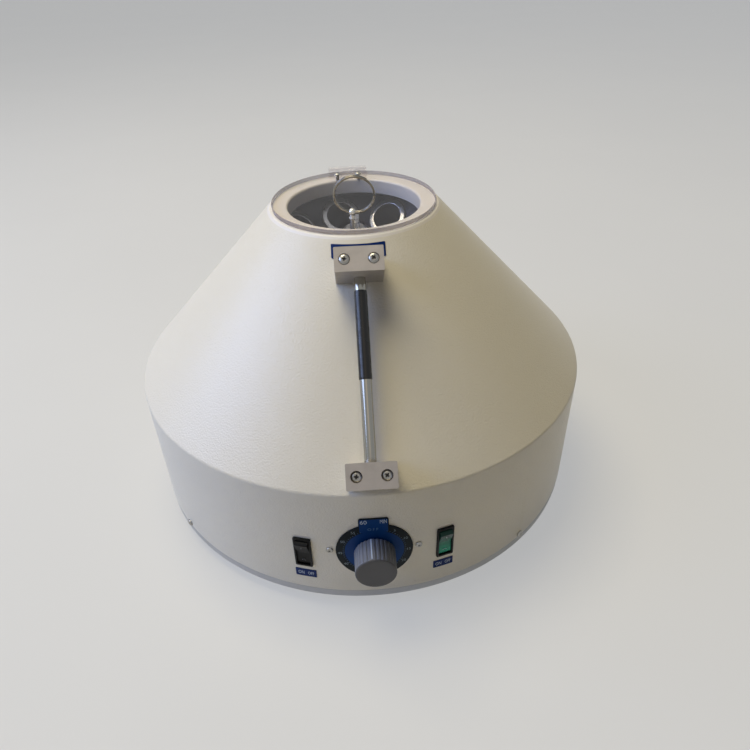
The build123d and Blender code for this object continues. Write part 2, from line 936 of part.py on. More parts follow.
def timer_knob():
    """Fluted knob, slightly tapered, with a plain rounded end and a pointer rib."""
    taper = rounded_turned(
        [
            (0, 0),
            (knob_radius, 0),
            (knob_tip_radius, knob_length),
            (0, knob_length),
        ],
        {2: knob_tip_round},
    )
    flute_long = knob_length - knob_plain_tip
    lean = degrees(atan2(knob_radius - knob_tip_radius, knob_length))
    cutter = Cylinder(1.0, flute_long)
    reach = knob_radius - knob_flute_depth + 1.0
    knob = taper
    cutters = []
    for k in range(1, knob_flutes):
        place = Rot(0, 0, 90 + 360 * k / knob_flutes) * Pos(reach, 0, flute_long / 2 - 0.01)
        cutters.append(place * Rot(0, -lean, 0) * cutter)
    knob = knob - cutters
    knob -= drill(*knob_back_hollow)
    knob -= drill(timer_spindle_radius + seat_gap, knob_bore_depth)
    rib_wide, rib_deep = knob_rib
    knob += Pos(0, knob_radius - 0.2, flute_long / 2) * Box(
        rib_wide, rib_deep, flute_long - 0.6
    )
    return outward(0, knob_back(), dial_z) * knob


def timer_screws():
    screw = pan_screw(timer_screw_radius, timer_screw_head, 2.0, sheet + surface_gap + 4.0)
    return group(
        [outward(azimuth, body_radius, dial_z) * screw for azimuth in timer_screw_azimuths()]
    )


# Rocker switches

def switch_body(azimuth, height):
    """Rocker switch's case with its bezel, open to the front, and three blade terminals."""
    wide, tall = switch_body_size
    case = Pos(0, 0, -switch_depth / 2) * Box(wide, tall, switch_depth)
    bezel = Box(*bezel_size, bezel_thickness + 1.0)
    bezel = fillet(bezel.edges().filter_by(Axis.Z), bezel_corner)
    bezel = fillet(bezel.faces().sort_by(Axis.Z)[-1].edges(), bezel_edge)
    bezel = Pos(0, 0, (bezel_thickness - 1.0) / 2) * bezel
    body = outward(azimuth, body_radius, height) * bezel
    body -= envelope(surface_gap)
    body += outward(azimuth, body_radius, height) * case
    hollow = Pos(0, 0, (bezel_thickness + 2 - window_depth) / 2) * Box(
        *window_size, bezel_thickness + 2 + window_depth
    )
    body -= outward(azimuth, body_radius, height) * hollow
    pivot = Rot(0, 90, 0) * Cylinder(rocker_pivot_radius + running_gap, wide + 4)
    body -= outward(azimuth, body_radius, height) * Pos(0, 0, -rocker_pivot_depth) * pivot
    for k in (-1, 0, 1):
        behind = -switch_depth - switch_blade[2] / 2 + 0.5
        blade = Pos(0, switch_blade_pitch * k, behind) * Box(*switch_blade)
        body += outward(azimuth, body_radius, height) * blade
    return body


def rocker(azimuth, height):
    """Two faced rocker on its pivot, lower half pressed in."""
    half = rocker_half_length
    front = rocker_pivot_depth + 0.6
    raised = front + half * tan(radians(rocker_tilt))
    side = make_face(
        Polyline(
            (-rocker_back + rocker_pivot_depth, -half),
            (raised, -half),
            (front, 0),
            (raised, half),
            (-rocker_back + rocker_pivot_depth, half),
            close=True,
        )
    )
    bar = extrude(Plane.ZY * side, rocker_width / 2, both=True)
    ends = Rot(0, 90, 0) * Cylinder(half, rocker_width)
    bar &= ends
    axle = Rot(0, 90, 0) * Cylinder(rocker_pivot_radius, switch_body_size[0] - 0.2)
    bar += axle
    tilted = Pos(0, 0, -rocker_pivot_depth) * Rot(rocker_tilt, 0, 0) * bar
    return outward(azimuth, body_radius, height) * tilted


# Inlet and fuse

def mains_inlet():
    """Mains inlet set upright at the rear, with its flange hollowed to the skirt."""
    flange = Box(*inlet_flange, inlet_flange_thickness + 2.0)
    flange = fillet(flange.edges().filter_by(Axis.Z), inlet_flange_corner)
    flange = Pos(0, 0, (inlet_flange_thickness - 2.0) / 2) * flange
    place = outward(180, body_radius, inlet_z)
    inlet = place * flange - envelope(surface_gap)
    wide, tall = inlet_body
    deep = inlet_depth + inlet_wall
    case = Pos(0, 0, -deep / 2) * Box(wide, tall, deep)
    inlet += place * case
    front = inlet_flange_thickness
    cavity = Pos(0, 0, (front - inlet_depth) / 2) * Box(
        *inlet_cavity, front + inlet_depth
    )
    corners = cavity.edges().filter_by(Axis.Z).sort_by(Axis.X)[:2]
    inlet -= place * chamfer(corners, inlet_cavity_chamfer)
    for x, y in inlet_pin_places():
        inlet -= place * Pos(x, y, -inlet_depth) * Box(
            inlet_pin[0] + 2 * seat_gap, inlet_pin[1] + 2 * seat_gap, 4 * inlet_wall
        )
    for side in (-1, 1):
        inlet -= place * Pos(0, side * inlet_screw_spacing / 2, 0) * drill(
            hinge_screw_radius + screw_gap, 3 * inlet_flange_thickness
        )
    return inlet


def inlet_pin_places():
    """Three pins in the cavity, the middle one set to the other side."""
    return (
        (inlet_pin_drop, -inlet_pin_pitch),
        (-inlet_pin_drop, 0),
        (inlet_pin_drop, inlet_pin_pitch),
    )


def inlet_pins():
    wide, thick, long = inlet_pin
    behind = inlet_wall + inlet_tag_length
    pin = Box(wide, thick, long + behind)
    pin = chamfer(pin.faces().sort_by(Axis.Z)[-1].edges(), 0.6)
    middle = -inlet_depth + (long - behind) / 2
    place = outward(180, body_radius, inlet_z)
    return group([place * Pos(x, y, middle) * pin for x, y in inlet_pin_places()])


def inlet_screws():
    screw = pan_screw(
        hinge_screw_radius,
        hinge_screw_head,
        hinge_screw_head_height,
        inlet_flange_thickness + 3 * sheet,
    )
    pieces = []
    for side in (-1, 1):
        place = outward(180, body_radius, inlet_z + side * inlet_screw_spacing / 2)
        pieces.append(place * Pos(0, 0, inlet_flange_thickness) * screw)
    return group(pieces)


def fuse_holder():
    """Round fuse holder with a slotted cap."""
    cap_front = fuse_flange_front + fuse_cap_length
    step, step_depth = fuse_body_step
    body = rounded_turned(
        [
            (0, -fuse_depth),
            (fuse_body_radius - step, -fuse_depth),
            (fuse_body_radius - step, -step_depth),
            (fuse_body_radius, -step_depth),
            (fuse_body_radius, surface_gap),
            (fuse_flange_radius, surface_gap),
            (fuse_flange_radius, fuse_flange_front),
            (fuse_cap_radius, fuse_flange_front),
            (fuse_cap_radius, cap_front),
            (0, cap_front),
        ],
        {6: 0.7, 8: 1.0},
    )
    body -= Pos(0, 0, cap_front) * Box(*fuse_slot)
    place = outward(fuse_azimuth, body_radius, inlet_z)
    barrel = place * Cylinder(fuse_body_radius + 0.01, 3 * fuse_depth)
    return place * body - (envelope(surface_gap) - barrel)


# Motor

plate_z = base_top + mount_height
can_z = plate_z + motor_plate_thickness
motor_top = can_z + motor_height


def motor_mounts():
    """Four waisted rubber mounts under the motor's plate."""
    half = mount_height / 2
    outline = [
        Line((0, -half), (mount_radius, -half)),
        ThreePointArc((mount_radius, -half), (mount_waist, 0), (mount_radius, half)),
        Line((mount_radius, half), (0, half)),
        Line((0, half), (0, -half)),
    ]
    barrel = revolve(Plane.XZ * make_face(outline), Axis.Z)
    z = base_top + half
    return group(
        [
            Pos(i * motor_mount_offset, j * motor_mount_offset, z) * barrel
            for i in (-1, 1)
            for j in (-1, 1)
        ]
    )


def motor_housing():
    """Motor can with domed end bells on a square mounting plate."""
    bell = motor_radius - motor_bell_step
    can = rounded_turned(
        [
            (0, can_z),
            (bell, can_z),
            (bell, can_z + motor_bell),
            (motor_radius, can_z + motor_bell),
            (motor_radius, motor_top - motor_bell),
            (bell, motor_top - motor_bell),
            (bell, motor_top - motor_crown),
            (motor_boss_radius, motor_top),
            (motor_boss_radius, motor_top + motor_boss_height),
            (0, motor_top + motor_boss_height),
        ],
        {6: 2.5},
    )
    plate = Box(motor_plate, motor_plate, motor_plate_thickness)
    plate = fillet(plate.edges().filter_by(Axis.Z), motor_plate_corner)
    motor = can + Pos(0, 0, plate_z + motor_plate_thickness / 2) * plate
    low = plate_z + motor_plate_thickness / 2
    top = motor_top + motor_boss_height
    motor -= Pos(0, 0, top) * drill(shaft_radius + motor_bell_step, top - low)
    for z in bearing_heights():
        motor -= Pos(0, 0, z) * Cylinder(bearing_radius + seat_gap / 2, bearing_width)
    return motor


def bearing_heights():
    """Middles of the lower and the upper bearing."""
    inset = bearing_width / 2 + 2.0
    return (can_z + inset, motor_top + motor_boss_height - inset + 2.0)


def motor_bearings():
    """Two ball bearings drawn as rings with a groove between the races."""
    half = bearing_width / 2
    middle = (bearing_radius + shaft_radius) / 2
    wide, deep = bearing_groove
    inner = middle - wide / 2
    outer = middle + wide / 2
    ring = turned(
        [
            (shaft_radius + running_gap, -half),
            (inner, -half),
            (inner, -half + deep),
            (outer, -half + deep),
            (outer, -half),
            (bearing_radius, -half),
            (bearing_radius, half),
            (outer, half),
            (outer, half - deep),
            (inner, half - deep),
            (inner, half),
            (shaft_radius + running_gap, half),
        ]
    )
    return group([Pos(0, 0, z) * ring for z in bearing_heights()])


def shaft_seal():
    """Rubber boot that closes the gap between the motor and the chamber floor."""
    under = floor_top - sheet
    hole = motor_boss_radius + floor_hole_margin
    low = motor_top + motor_boss_height
    neck = shaft_radius + seal_gap
    return turned(
        [
            (neck, low),
            (neck + 9, low),
            (hole - 3, under - 1.5),
            (hole + 4, under - 1.5),
            (hole + 4, under - seat_gap),
            (hole - seat_gap, under - seat_gap),
            (hole - seat_gap, floor_top + seat_gap),
            (hole + 3, floor_top + seat_gap),
            (hole + 2, floor_top + 2),
            (hole - 4, floor_top + 2),
            (neck + 4, low + 2.5),
            (neck, low + 2.5),
        ]
    )


# Rotor. The sleeves lie parallel to the cone, their mouths under the loading mouth.

collar_bottom = rim - mouth_depth


def axis_height(radius):
    """Height of a sleeve's axis at a radius."""
    return collar_bottom - (radius - axis_radius_at_collar) * tan(slope)


mouth_z = axis_height(sleeve_mouth_radius)
tip_radius = axis_radius_at_collar - (tube_tip_height - collar_bottom) / tan(slope)
tube_above_mouth = (sleeve_mouth_radius - tip_radius) / slope_cos
sleeve_inside = tube_length - tube_above_mouth
sleeve_long = sleeve_inside + cushion_thickness + sleeve_end_wall
sleeve_outer = sleeve_bore + sleeve_wall
sleeve_azimuths = [rotor_phase + 360 * k / sleeve_count for k in range(sleeve_count)]
rotor_low = floor_top + web_height


def sleeve_place(azimuth):
    """Place at a sleeve's mouth, Z pointing out of it along its axis."""
    plane = Plane(
        origin=(0, -sleeve_mouth_radius, mouth_z),
        x_dir=(1, 0, 0),
        z_dir=(0, slope_cos, slope_sin),
    )
    return spin(azimuth) * plane.location


def dish_point(out, depth=0.0):
    """(radius, height) along the bowl's surface, out from the sleeve's axis, and below it."""
    return (
        sleeve_mouth_radius + out * slope_sin + depth * slope_cos,
        mouth_z + out * slope_cos - depth * slope_sin,
    )


def under_dish():
    """Space under the bowl's conical upper surface, out past its rim."""
    inner = dish_point((bowl_flat_radius - sleeve_mouth_radius) / slope_sin, -seat_gap)
    outer = dish_point(sleeve_outer + 2 * sleeve_lip, -seat_gap)
    return turned([(inner[0], rotor_low), (outer[0], rotor_low), outer, inner])


def tube_sleeve(azimuth):
    """Closed sleeve with a lip shaped to the bowl, a pocket for its cushion and a drain."""
    tube = rounded_turned(
        [
            (0, -sleeve_long),
            (sleeve_outer, -sleeve_long),
            (sleeve_outer, sleeve_lip_height),
            (sleeve_bore, sleeve_lip_height),
            (sleeve_bore, -sleeve_inside),
            (sleeve_bore - cushion_step, -sleeve_inside),
            (sleeve_bore - cushion_step, -sleeve_inside - cushion_thickness),
            (0, -sleeve_inside - cushion_thickness),
        ],
        {1: 2.5},
    )
    tube -= Pos(0, 0, -sleeve_long) * drill(drain_radius, 2 * sleeve_end_wall)
    lip = rounded_turned(
        [
            (sleeve_outer - sleeve_wall / 2, 0),
            (sleeve_outer + sleeve_lip, 0),
            (sleeve_outer + sleeve_lip, sleeve_lip_height),
            (sleeve_outer - sleeve_wall / 2, sleeve_lip_height),
        ],
        {2: 0.8},
    )
    place = sleeve_place(azimuth)
    return place * tube + (place * lip - under_dish())


def sleeve_cushions():
    """Rubber discs at the bottoms of the sleeves."""
    disc = Cylinder(sleeve_bore - cushion_step - seat_gap, cushion_thickness)
    disc -= Cylinder(drain_radius, 2 * cushion_thickness)
    middle = -sleeve_inside - cushion_thickness / 2
    return group([sleeve_place(a) * Pos(0, 0, middle) * disc for a in sleeve_azimuths])


def rotor_bowl():
    """Spun bowl, square to the sleeves, with a beaded rim and a hole for each sleeve."""
    rise = (bowl_rim_radius - sleeve_mouth_radius) / slope_sin
    flat_z = dish_flat_height()
    inner_out = (bowl_flat_radius - sleeve_mouth_radius) / slope_sin
    low_corner = (
        bowl_flat_radius + bowl_thickness * tan((pi / 2 - slope) / 2),
        flat_z - bowl_thickness,
    )
    bowl = rounded_turned(
        [
            (hub_nose_radius + seat_gap, flat_z - bowl_thickness),
            low_corner,
            dish_point(rise, bowl_thickness),
            dish_point(rise, 0),
            dish_point(inner_out, 0),
            (hub_nose_radius + seat_gap, flat_z),
        ],
        {4: bowl_bend, 1: bowl_bend + bowl_thickness},
    )
    bead_radius, bead_z = dish_point(rise, bowl_thickness / 2)
    bowl += Pos(0, 0, bead_z) * Torus(bead_radius, bowl_bead)
    for azimuth in sleeve_azimuths:
        bowl -= sleeve_place(azimuth) * drill(sleeve_outer + surface_gap, 12)
    for azimuth in bolt_azimuths():
        bowl -= spin(azimuth) * Pos(0, -bowl_bolt_ring, flat_z) * drill(
            rotor_bolt_radius + screw_gap, 3 * bowl_thickness
        )
    return bowl


def dish_flat_height():
    return dish_point((bowl_flat_radius - sleeve_mouth_radius) / slope_sin)[1]


def bolt_azimuths():
    return [rotor_phase + 22.5 + 360 * k / hub_bolts for k in range(hub_bolts)]


def rotor_lower_disc():
    """Lower disc: a flat web with lightening holes and a band square to the sleeves."""
    centre_r = sleeve_mouth_radius + band_slant * slope_cos
    centre_z = mouth_z - band_slant * slope_sin
    web_top = rotor_low + web_thickness
    inner_r = centre_r - (centre_z - web_top) * tan(slope)
    tip = (centre_r + band_reach * slope_sin, centre_z + band_reach * slope_cos)
    drop = web_thickness
    shift = drop * tan((pi / 2 - slope) / 2)
    disc = rounded_turned(
        [
            (hub_radius + seat_gap, rotor_low),
            (inner_r + shift, rotor_low),
            (tip[0] + drop * slope_cos, tip[1] - drop * slope_sin),
            tip,
            (inner_r, web_top),
            (hub_radius + seat_gap, web_top),
        ],
        {1: 8.0, 4: 5.0},
    )
    for azimuth in sleeve_azimuths:
        disc -= sleeve_place(azimuth) * Pos(0, 0, -band_slant) * drill(
            sleeve_outer + surface_gap, 14
        )
        disc -= spin(azimuth + 22.5) * Pos(0, -web_hole_ring, web_top) * drill(
            web_hole_radius, 3 * web_thickness
        )
    for azimuth in bolt_azimuths():
        disc -= spin(azimuth) * Pos(0, -hub_bolt_ring, web_top) * drill(
            rotor_bolt_radius + screw_gap, 3 * web_thickness
        )
    return disc


def rotor_hub():
    """Turned hub: foot flange under the lower disc, column, and a nose through the bowl."""
    flat_z = dish_flat_height()
    seat_z = flat_z - bowl_thickness
    nose_top = flat_z + hub_nose_height
    foot = rotor_low - hub_flange_thickness
    hub = rounded_turned(
        [
            (shaft_radius + seat_gap, foot),
            (hub_flange_radius, foot),
            (hub_flange_radius, rotor_low),
            (hub_radius, rotor_low),
            (hub_radius, seat_z - 9),
            (bowl_flat_radius - 1, seat_z - 5),
            (bowl_flat_radius - 1, seat_z),
            (hub_nose_radius, seat_z),
            (hub_nose_radius, nose_top),
            (shaft_radius + seat_gap, nose_top),
        ],
        {1: 1.0, 4: 4.0, 8: 1.5},
    )
    for azimuth in bolt_azimuths():
        hub -= spin(azimuth) * Pos(0, -hub_bolt_ring, rotor_low) * drill(
            rotor_bolt_radius + running_gap, 10
        )
        hub -= spin(azimuth) * Pos(0, -bowl_bolt_ring, seat_z) * drill(
            rotor_bolt_radius + running_gap, 12
        )
    return hub


def rotor_bolts():
    """Hexagon bolts that hold the lower disc and the bowl to the hub."""
    flat_z = dish_flat_height()
    web_top = rotor_low + web_thickness
    head = fillet(hexagon(rotor_bolt_width, rotor_bolt_head).faces().sort_by(Axis.Z)[-1].edges(), 0.4)
    pieces = []
    for azimuth in bolt_azimuths():
        for ring, z, length in (
            (hub_bolt_ring, web_top, web_thickness + 5.0),
            (bowl_bolt_ring, flat_z, bowl_thickness + 4.5),
        ):
            bolt = head + Pos(0, 0, -length / 2) * Cylinder(rotor_bolt_radius, length)
            pieces.append(spin(azimuth) * Pos(0, -ring, z) * bolt)
    return group(pieces)


def motor_shaft():
    """Stepped shaft from the lower bearing to the stud that carries the nut."""
    nose_top = dish_flat_height() + hub_nose_height
    low = bearing_heights()[0] - bearing_width / 2 - 0.5
    top = nose_top + nut_height + stud_length
    return rounded_turned(
        [
            (0, low),
            (shaft_radius, low),
            (shaft_radius, nose_top - 1.0),
            (stud_radius, nose_top - 1.0),
            (stud_radius, top),
            (0, top),
        ],
        {4: 1.0},
    )


def rotor_nut():
    """Domed hexagon nut on the stud, with a washer face."""
    nose_top = dish_flat_height() + hub_nose_height
    bar = hexagon(nut_width, nut_height)
    dome = rounded_turned(
        [
            (0, 0),
            (nut_width / 2 + 0.6, 0),
            (nut_width / 2 + 0.6, nut_height - 2.2),
            (nut_width / 2 - 2.2, nut_height),
            (0, nut_height),
        ],
        {2: 1.0},
    )
    nut = (bar & dome) + Pos(0, 0, 0.5) * Cylinder(nut_width / 2 + 1.5, 1.0)
    nut -= drill(stud_radius + running_gap, 2 * nut_height)
    return Pos(0, 0, nose_top + seat_gap) * nut


def build():
    """Makes every piece and writes one file for each node."""
    save("base_plate", base_plate())
    save("rubber_feet", rubber_feet())
    save("foot_screws", foot_screws())
    save("housing_skirt", housing_skirt())
    save("housing_cone", housing_cone())
    save("mouth_ring", mouth_ring())
    save("shell_screws", shell_screws())
    save("chamber_floor", chamber_floor())
    save("floor_posts", floor_posts())
    save("lid_disc", lid_disc())
    save("hinge_leaf_lid", hinge_leaf_lid())
    save("hinge_leaf_body", hinge_leaf_body())
    save("hinge_pin", hinge_pin())
    save("hinge_lid_screws", hinge_lid_screws())
    save("hinge_body_screws", hinge_body_screws())
    save("ring_post", ring_post())
    save("pull_ring", pull_ring())
    for side, (azimuth, upper) in handles.items():
        name = side + "_handle_"
        save(name + "lower_block", handle_block(lower_block_slant, lower_counterbore, azimuth))
        save(name + "upper_block", handle_block(upper, upper_counterbore, azimuth))
        save(name + "rod", handle_rod(azimuth, upper))
        save(name + "grip", handle_grip(azimuth, upper))
        save(name + "screws", handle_screws(azimuth, upper))
    save("dial_plate", dial_plate())
    save("timer_body", timer_body())
    save("timer_spindle", timer_spindle())
    save("timer_knob", timer_knob())
    save("timer_screws", timer_screws())
    for name, (azimuth, height) in switch_places.items():
        save(name + "_switch_body", switch_body(azimuth, height))
        save(name + "_rocker", rocker(azimuth, height))
    save("mains_inlet", mains_inlet())
    save("inlet_pins", inlet_pins())
    save("inlet_screws", inlet_screws())
    save("fuse_holder", fuse_holder())
    save("motor_mounts", motor_mounts())
    save("motor_housing", motor_housing())
    save("motor_bearings", motor_bearings())
    save("shaft_seal", shaft_seal())
    save("motor_shaft", motor_shaft())
    save("rotor_hub", rotor_hub())
    save("rotor_bowl", rotor_bowl())
    save("rotor_lower_disc", rotor_lower_disc())
    save("rotor_bolts", rotor_bolts())
    save("rotor_nut", rotor_nut())
    for number, azimuth in enumerate(sleeve_azimuths, start=1):
        save("tube_sleeve_" + str(number), tube_sleeve(azimuth))
    save("sleeve_cushions", sleeve_cushions())


build()
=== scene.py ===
"""Looks of the milk fat centrifuge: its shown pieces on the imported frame, camera, floor and light."""

import math

import bmesh
import bpy
import numpy as np
from mathutils import Matrix, Vector


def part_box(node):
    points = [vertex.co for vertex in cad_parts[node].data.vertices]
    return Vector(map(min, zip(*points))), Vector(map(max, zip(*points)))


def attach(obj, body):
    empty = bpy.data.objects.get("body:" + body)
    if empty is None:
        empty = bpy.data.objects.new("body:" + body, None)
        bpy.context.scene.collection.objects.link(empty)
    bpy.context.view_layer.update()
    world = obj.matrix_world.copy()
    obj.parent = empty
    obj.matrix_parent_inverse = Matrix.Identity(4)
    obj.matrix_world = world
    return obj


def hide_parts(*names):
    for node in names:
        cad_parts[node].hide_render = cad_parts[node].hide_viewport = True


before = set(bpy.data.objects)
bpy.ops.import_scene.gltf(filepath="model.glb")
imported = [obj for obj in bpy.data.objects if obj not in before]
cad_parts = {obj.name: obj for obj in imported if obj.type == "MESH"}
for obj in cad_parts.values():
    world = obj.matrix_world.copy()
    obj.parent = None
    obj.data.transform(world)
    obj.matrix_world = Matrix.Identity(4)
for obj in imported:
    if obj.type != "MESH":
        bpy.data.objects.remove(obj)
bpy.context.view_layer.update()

# Sizes in millimetres, the same as the part's own.
MM = 0.001
BODY_R = 200.0
SKIRT_Z = 20.0
SHOULDER_Z = 128.2
RIM_Z = 267.1
TOP_R = 70.0
SHEET = 2.0
WELD_Z = SHOULDER_Z - 6.4
MOUTH_R = 55.0
COLLAR_Z = RIM_Z - 12.5
SLOPE = math.atan2(RIM_Z - SHOULDER_Z, BODY_R - TOP_R)
SLOPE_COS = math.cos(SLOPE)
SLOPE_SIN = math.sin(SLOPE)
SLOPE_LONG = math.hypot(RIM_Z - SHOULDER_Z, BODY_R - TOP_R)
HALF_TURN = math.tan((math.pi / 2 - SLOPE) / 2)
SURFACE_GAP = 0.1
SIDES = (-1, 1)
CROSS_ANGLES = [45 + 90 * k for k in range(4)]

LID_Z = RIM_Z + 0.2
LID_TOP = LID_Z + 3.5
LID_R = 68.0
HARDWARE_X = -3.5
HINGE_Y = TOP_R + 1.8
HINGE_Z = LID_TOP + 0.5
LEAF_LONG = 21.0
LEAF_HALF = 17.0
LEAF_THICK = 1.2
KNUCKLE_R = 2.5
KNUCKLE_HALF = 7.0
KNUCKLE_GAP = 0.15
LID_SCREW_X = 9.15
LID_SCREW_Y = 54.5
BODY_HINGE_SLANT = SLOPE_LONG - 9.5
POST_X = -2.4
POST_Y = -44.4
EYE_UP = 4.9
EYE_TWIST = 8
RING_LEAN = 13

DIAL_Z = SKIRT_Z + 49.5
DIAL_FACE_R = BODY_R + SURFACE_GAP
DIAL_R = 29.5
DIAL_THICK = 0.95
DIAL_STEP = 28.8
DIAL_SCREW = (1.45, 2.75, 1.7)
PANEL_HOLE = 1.75
TIMER_SCREW_X = 34.0
TIMER_AZ = math.degrees(math.asin(TIMER_SCREW_X / BODY_R))
SWITCHES = {"black": (-15.9, SKIRT_Z + 44.2), "green": (15.9, SKIRT_Z + 45.7)}
INLET_Z = SKIRT_Z + 40.0
INLET_AZ, INLET_SCREW_UP = 180, 20
FUSE_AZ = 167
LOW_SCREW_HALF, LOW_SCREW_MIDDLE = 46.5, -7.3
SCREW_RING = [half + side * LOW_SCREW_HALF + LOW_SCREW_MIDDLE for half in (0, 180) for side in SIDES]
LOW_SCREW_Z = SKIRT_Z + 3.2
FINE_SCREW = (1.45, 2.8, 1.7)
FINE_HOLE = 1.6
FOOT_RING, POST_RING, VENT_RING = 168, 141, 118

HANDLES = {"front": (0, SLOPE_LONG - 26.7), "rear": (180, SLOPE_LONG - 62.0)}
HANDLE_PITCH = 20.6
LOWER_BLOCK = 14.5
BLOCK_SIZE = (35.0, 18.0, 34.0)
BLOCK_DEEP = 4.0
BLOCK_TOP = BLOCK_SIZE[2] - BLOCK_DEEP
BAR_UP = 12.0
BAR_R = 4.25
HANDLE_SCREW = (2.0, 3.8, 2.4)
HANDLE_HOLE = 2.3
SCREW_SUNK = {"lower": 3.4, "upper": 1.2}

PHASE = 12.0
SLEEVES = [PHASE + 45 * k for k in range(8)]
SLEEVE_R = 58.0
AXIS_R_AT_COLLAR = 36.5
TIP_Z = 265.0
TUBE_LONG = 200.0
SLEEVE_Z = COLLAR_Z - (SLEEVE_R - AXIS_R_AT_COLLAR) * math.tan(SLOPE)
TIP_R = AXIS_R_AT_COLLAR - (TIP_Z - COLLAR_Z) / math.tan(SLOPE)
SLEEVE_DEEP = TUBE_LONG - (SLEEVE_R - TIP_R) / SLOPE_COS
SLEEVE_LONG = SLEEVE_DEEP + 5.0
SLEEVE_BORE, SLEEVE_OUTER, SLEEVE_HOLE = 13.0, 14.5, 14.6
CUSHION_THICK, CUSHION_BORE = 3.0, 2.5
LOWER_CUT = 124.0
WALL_REACH = 19.0
ROTOR_PLATE = 3.0
ROTOR_BOLT_HOLE = 2.15
FLAT_R = 26.0


# Shapes. A shape is a pair: points as an array in millimetres, and faces as lists of point numbers.


def spin(azimuth):
    return Matrix.Rotation(math.radians(azimuth), 4, "Z")


def move(x=0.0, y=0.0, z=0.0):
    return Matrix.Translation((x, y, z))


def turn(degrees, axis):
    return Matrix.Rotation(math.radians(degrees), 4, axis)


def axes(x, y, z, origin):
    m = Matrix.Identity(4)
    for column, v in enumerate((x, y, z, origin)):
        for row in range(3):
            m[row][column] = v[row]
    return m


def outward(azimuth, radius, height):
    """Place on the skirt: Z points outward and Y up."""
    return spin(azimuth) @ axes((1, 0, 0), (0, 0, 1), (0, -1, 0), (0, -radius, height))


def on_slope(x, slant, depth=0.0, azimuth=0.0):
    """Place on the cone: Z is its outward normal and Y points up the slope."""
    up = (0, SLOPE_COS, SLOPE_SIN)
    normal = (0, -SLOPE_SIN, SLOPE_COS)
    base = axes((1, 0, 0), up, normal, (0, -BODY_R, SHOULDER_Z))
    return spin(azimuth) @ base @ move(x, slant, depth)


def body_hinge_screw(side):
    return on_slope(-HARDWARE_X + side * LID_SCREW_X, BODY_HINGE_SLANT, 0, 180)


def put(shape, matrix):
    points, faces = shape
    m = np.array(matrix)
    return points @ m[:3, :3].T + m[:3, 3], faces


def together(*shapes):
    points, faces, start = [], [], 0
    for p, f in shapes:
        points.append(p)
        faces += [[i + start for i in face] for face in f]
        start += len(p)
    return np.vstack(points), faces


def at_each(shape, places):
    """Copies of a shape at several places, as one shape."""
    return together(*[put(shape, place) for place in places])


def polar(radius, degrees):
    a = math.radians(degrees)
    return radius * math.cos(a), radius * math.sin(a)


def corner_arc(before, corner, after, radius, steps):
    """Points of an arc that rounds a corner of an outline."""
    b, c, a = (np.array(v[:2], float) for v in (before, corner, after))
    u = (b - c) / np.linalg.norm(b - c)
    w = (a - c) / np.linalg.norm(a - c)
    half = math.acos(max(-1.0, min(1.0, float(u @ w)))) / 2
    reach = radius / math.tan(half)
    centre = c + (u + w) / np.linalg.norm(u + w) * radius / math.sin(half)
    start, end = c + u * reach - centre, c + w * reach - centre
    first = math.atan2(start[1], start[0])
    sweep = (math.atan2(end[1], end[0]) - first + math.pi) % (2 * math.pi) - math.pi
    angles = [first + sweep * k / steps for k in range(steps + 1)]
    return [(centre[0] + radius * math.cos(t), centre[1] + radius * math.sin(t)) for t in angles]


def outline(corners, steps=5, closed=True):
    """Outline from (x, y) or (x, y, rounding) corners."""
    out, n = [], len(corners)
    for k, c in enumerate(corners):
        inner = closed or 0 < k < n - 1
        if len(c) > 2 and c[2] > 0 and inner:
            out += corner_arc(corners[k - 1], c, corners[(k + 1) % n], c[2], steps)
        else:
            out.append((c[0], c[1]))
    return out


def oblong(left, low, right, high, corner=0.0, steps=5):
    """Outline of a rectangle with rounded corners."""
    corners = ((left, low), (right, low), (right, high), (left, high))
    return outline([(x, y, corner) for x, y in corners], steps)


def stitched(rows, count):
    """Four sided faces between rows of points that are numbered one after another, each row closed."""
    faces = []
    for i in range(rows - 1):
        for k in range(count):
            j = (k + 1) % count
            faces.append([i * count + k, i * count + j, (i + 1) * count + j, (i + 1) * count + k])
    return faces


def lathe(corners, segments=160, steps=5):
    """Closed (radius, height) outline turned about Z. Radius 0 makes one point on the axis."""
    points, rows = [], []
    for r, z in outline(corners, steps):
        if r < 1e-9:
            rows.append([len(points)] * segments)
            points.append((0.0, 0.0, z))
            continue
        row = []
        for k in range(segments):
            row.append(len(points))
            points.append((*polar(r, 360.0 * k / segments), z))
        rows.append(row)
    faces, n = [], len(rows)
    for i in range(n):
        low, high = rows[i], rows[(i + 1) % n]
        for k in range(segments):
            j = (k + 1) % segments
            face = []
            for v in (low[k], low[j], high[j], high[k]):
                if v not in face:
                    face.append(v)
            if len(face) > 2:
                faces.append(face)
    return np.array(points, float), faces


def prism(section, low, high):
    """Outline in X and Y raised from one height to another."""
    n = len(section)
    points = [(x, y, low) for x, y in section] + [(x, y, high) for x, y in section]
    faces = [list(range(n))[::-1], list(range(n, 2 * n))]
    faces += [[k, (k + 1) % n, n + (k + 1) % n, n + k] for k in range(n)]
    return np.array(points, float), faces


def block(x, y, z, corner=0.0):
    """Box centred on the origin, its upright edges rounded."""
    return prism(oblong(-x / 2, -y / 2, x / 2, y / 2, corner, 4), -z / 2, z / 2)


def rod(radius, low, high, segments=48, soften=0.0):
    return lathe([(0, low), (radius, low, soften), (radius, high, soften), (0, high)], segments)


def holes(radius, depth, places, segments=32):
    """Round cutters at several places, reaching the same depth both ways."""
    return [put(rod(radius, -depth, depth, segments), place) for place in places]


def ring(inner, outer, low, high, segments=64, soften=0.0):
    corners = ((inner, low), (outer, low), (outer, high), (inner, high))
    return lathe([(r, z, soften) for r, z in corners], segments, 3)


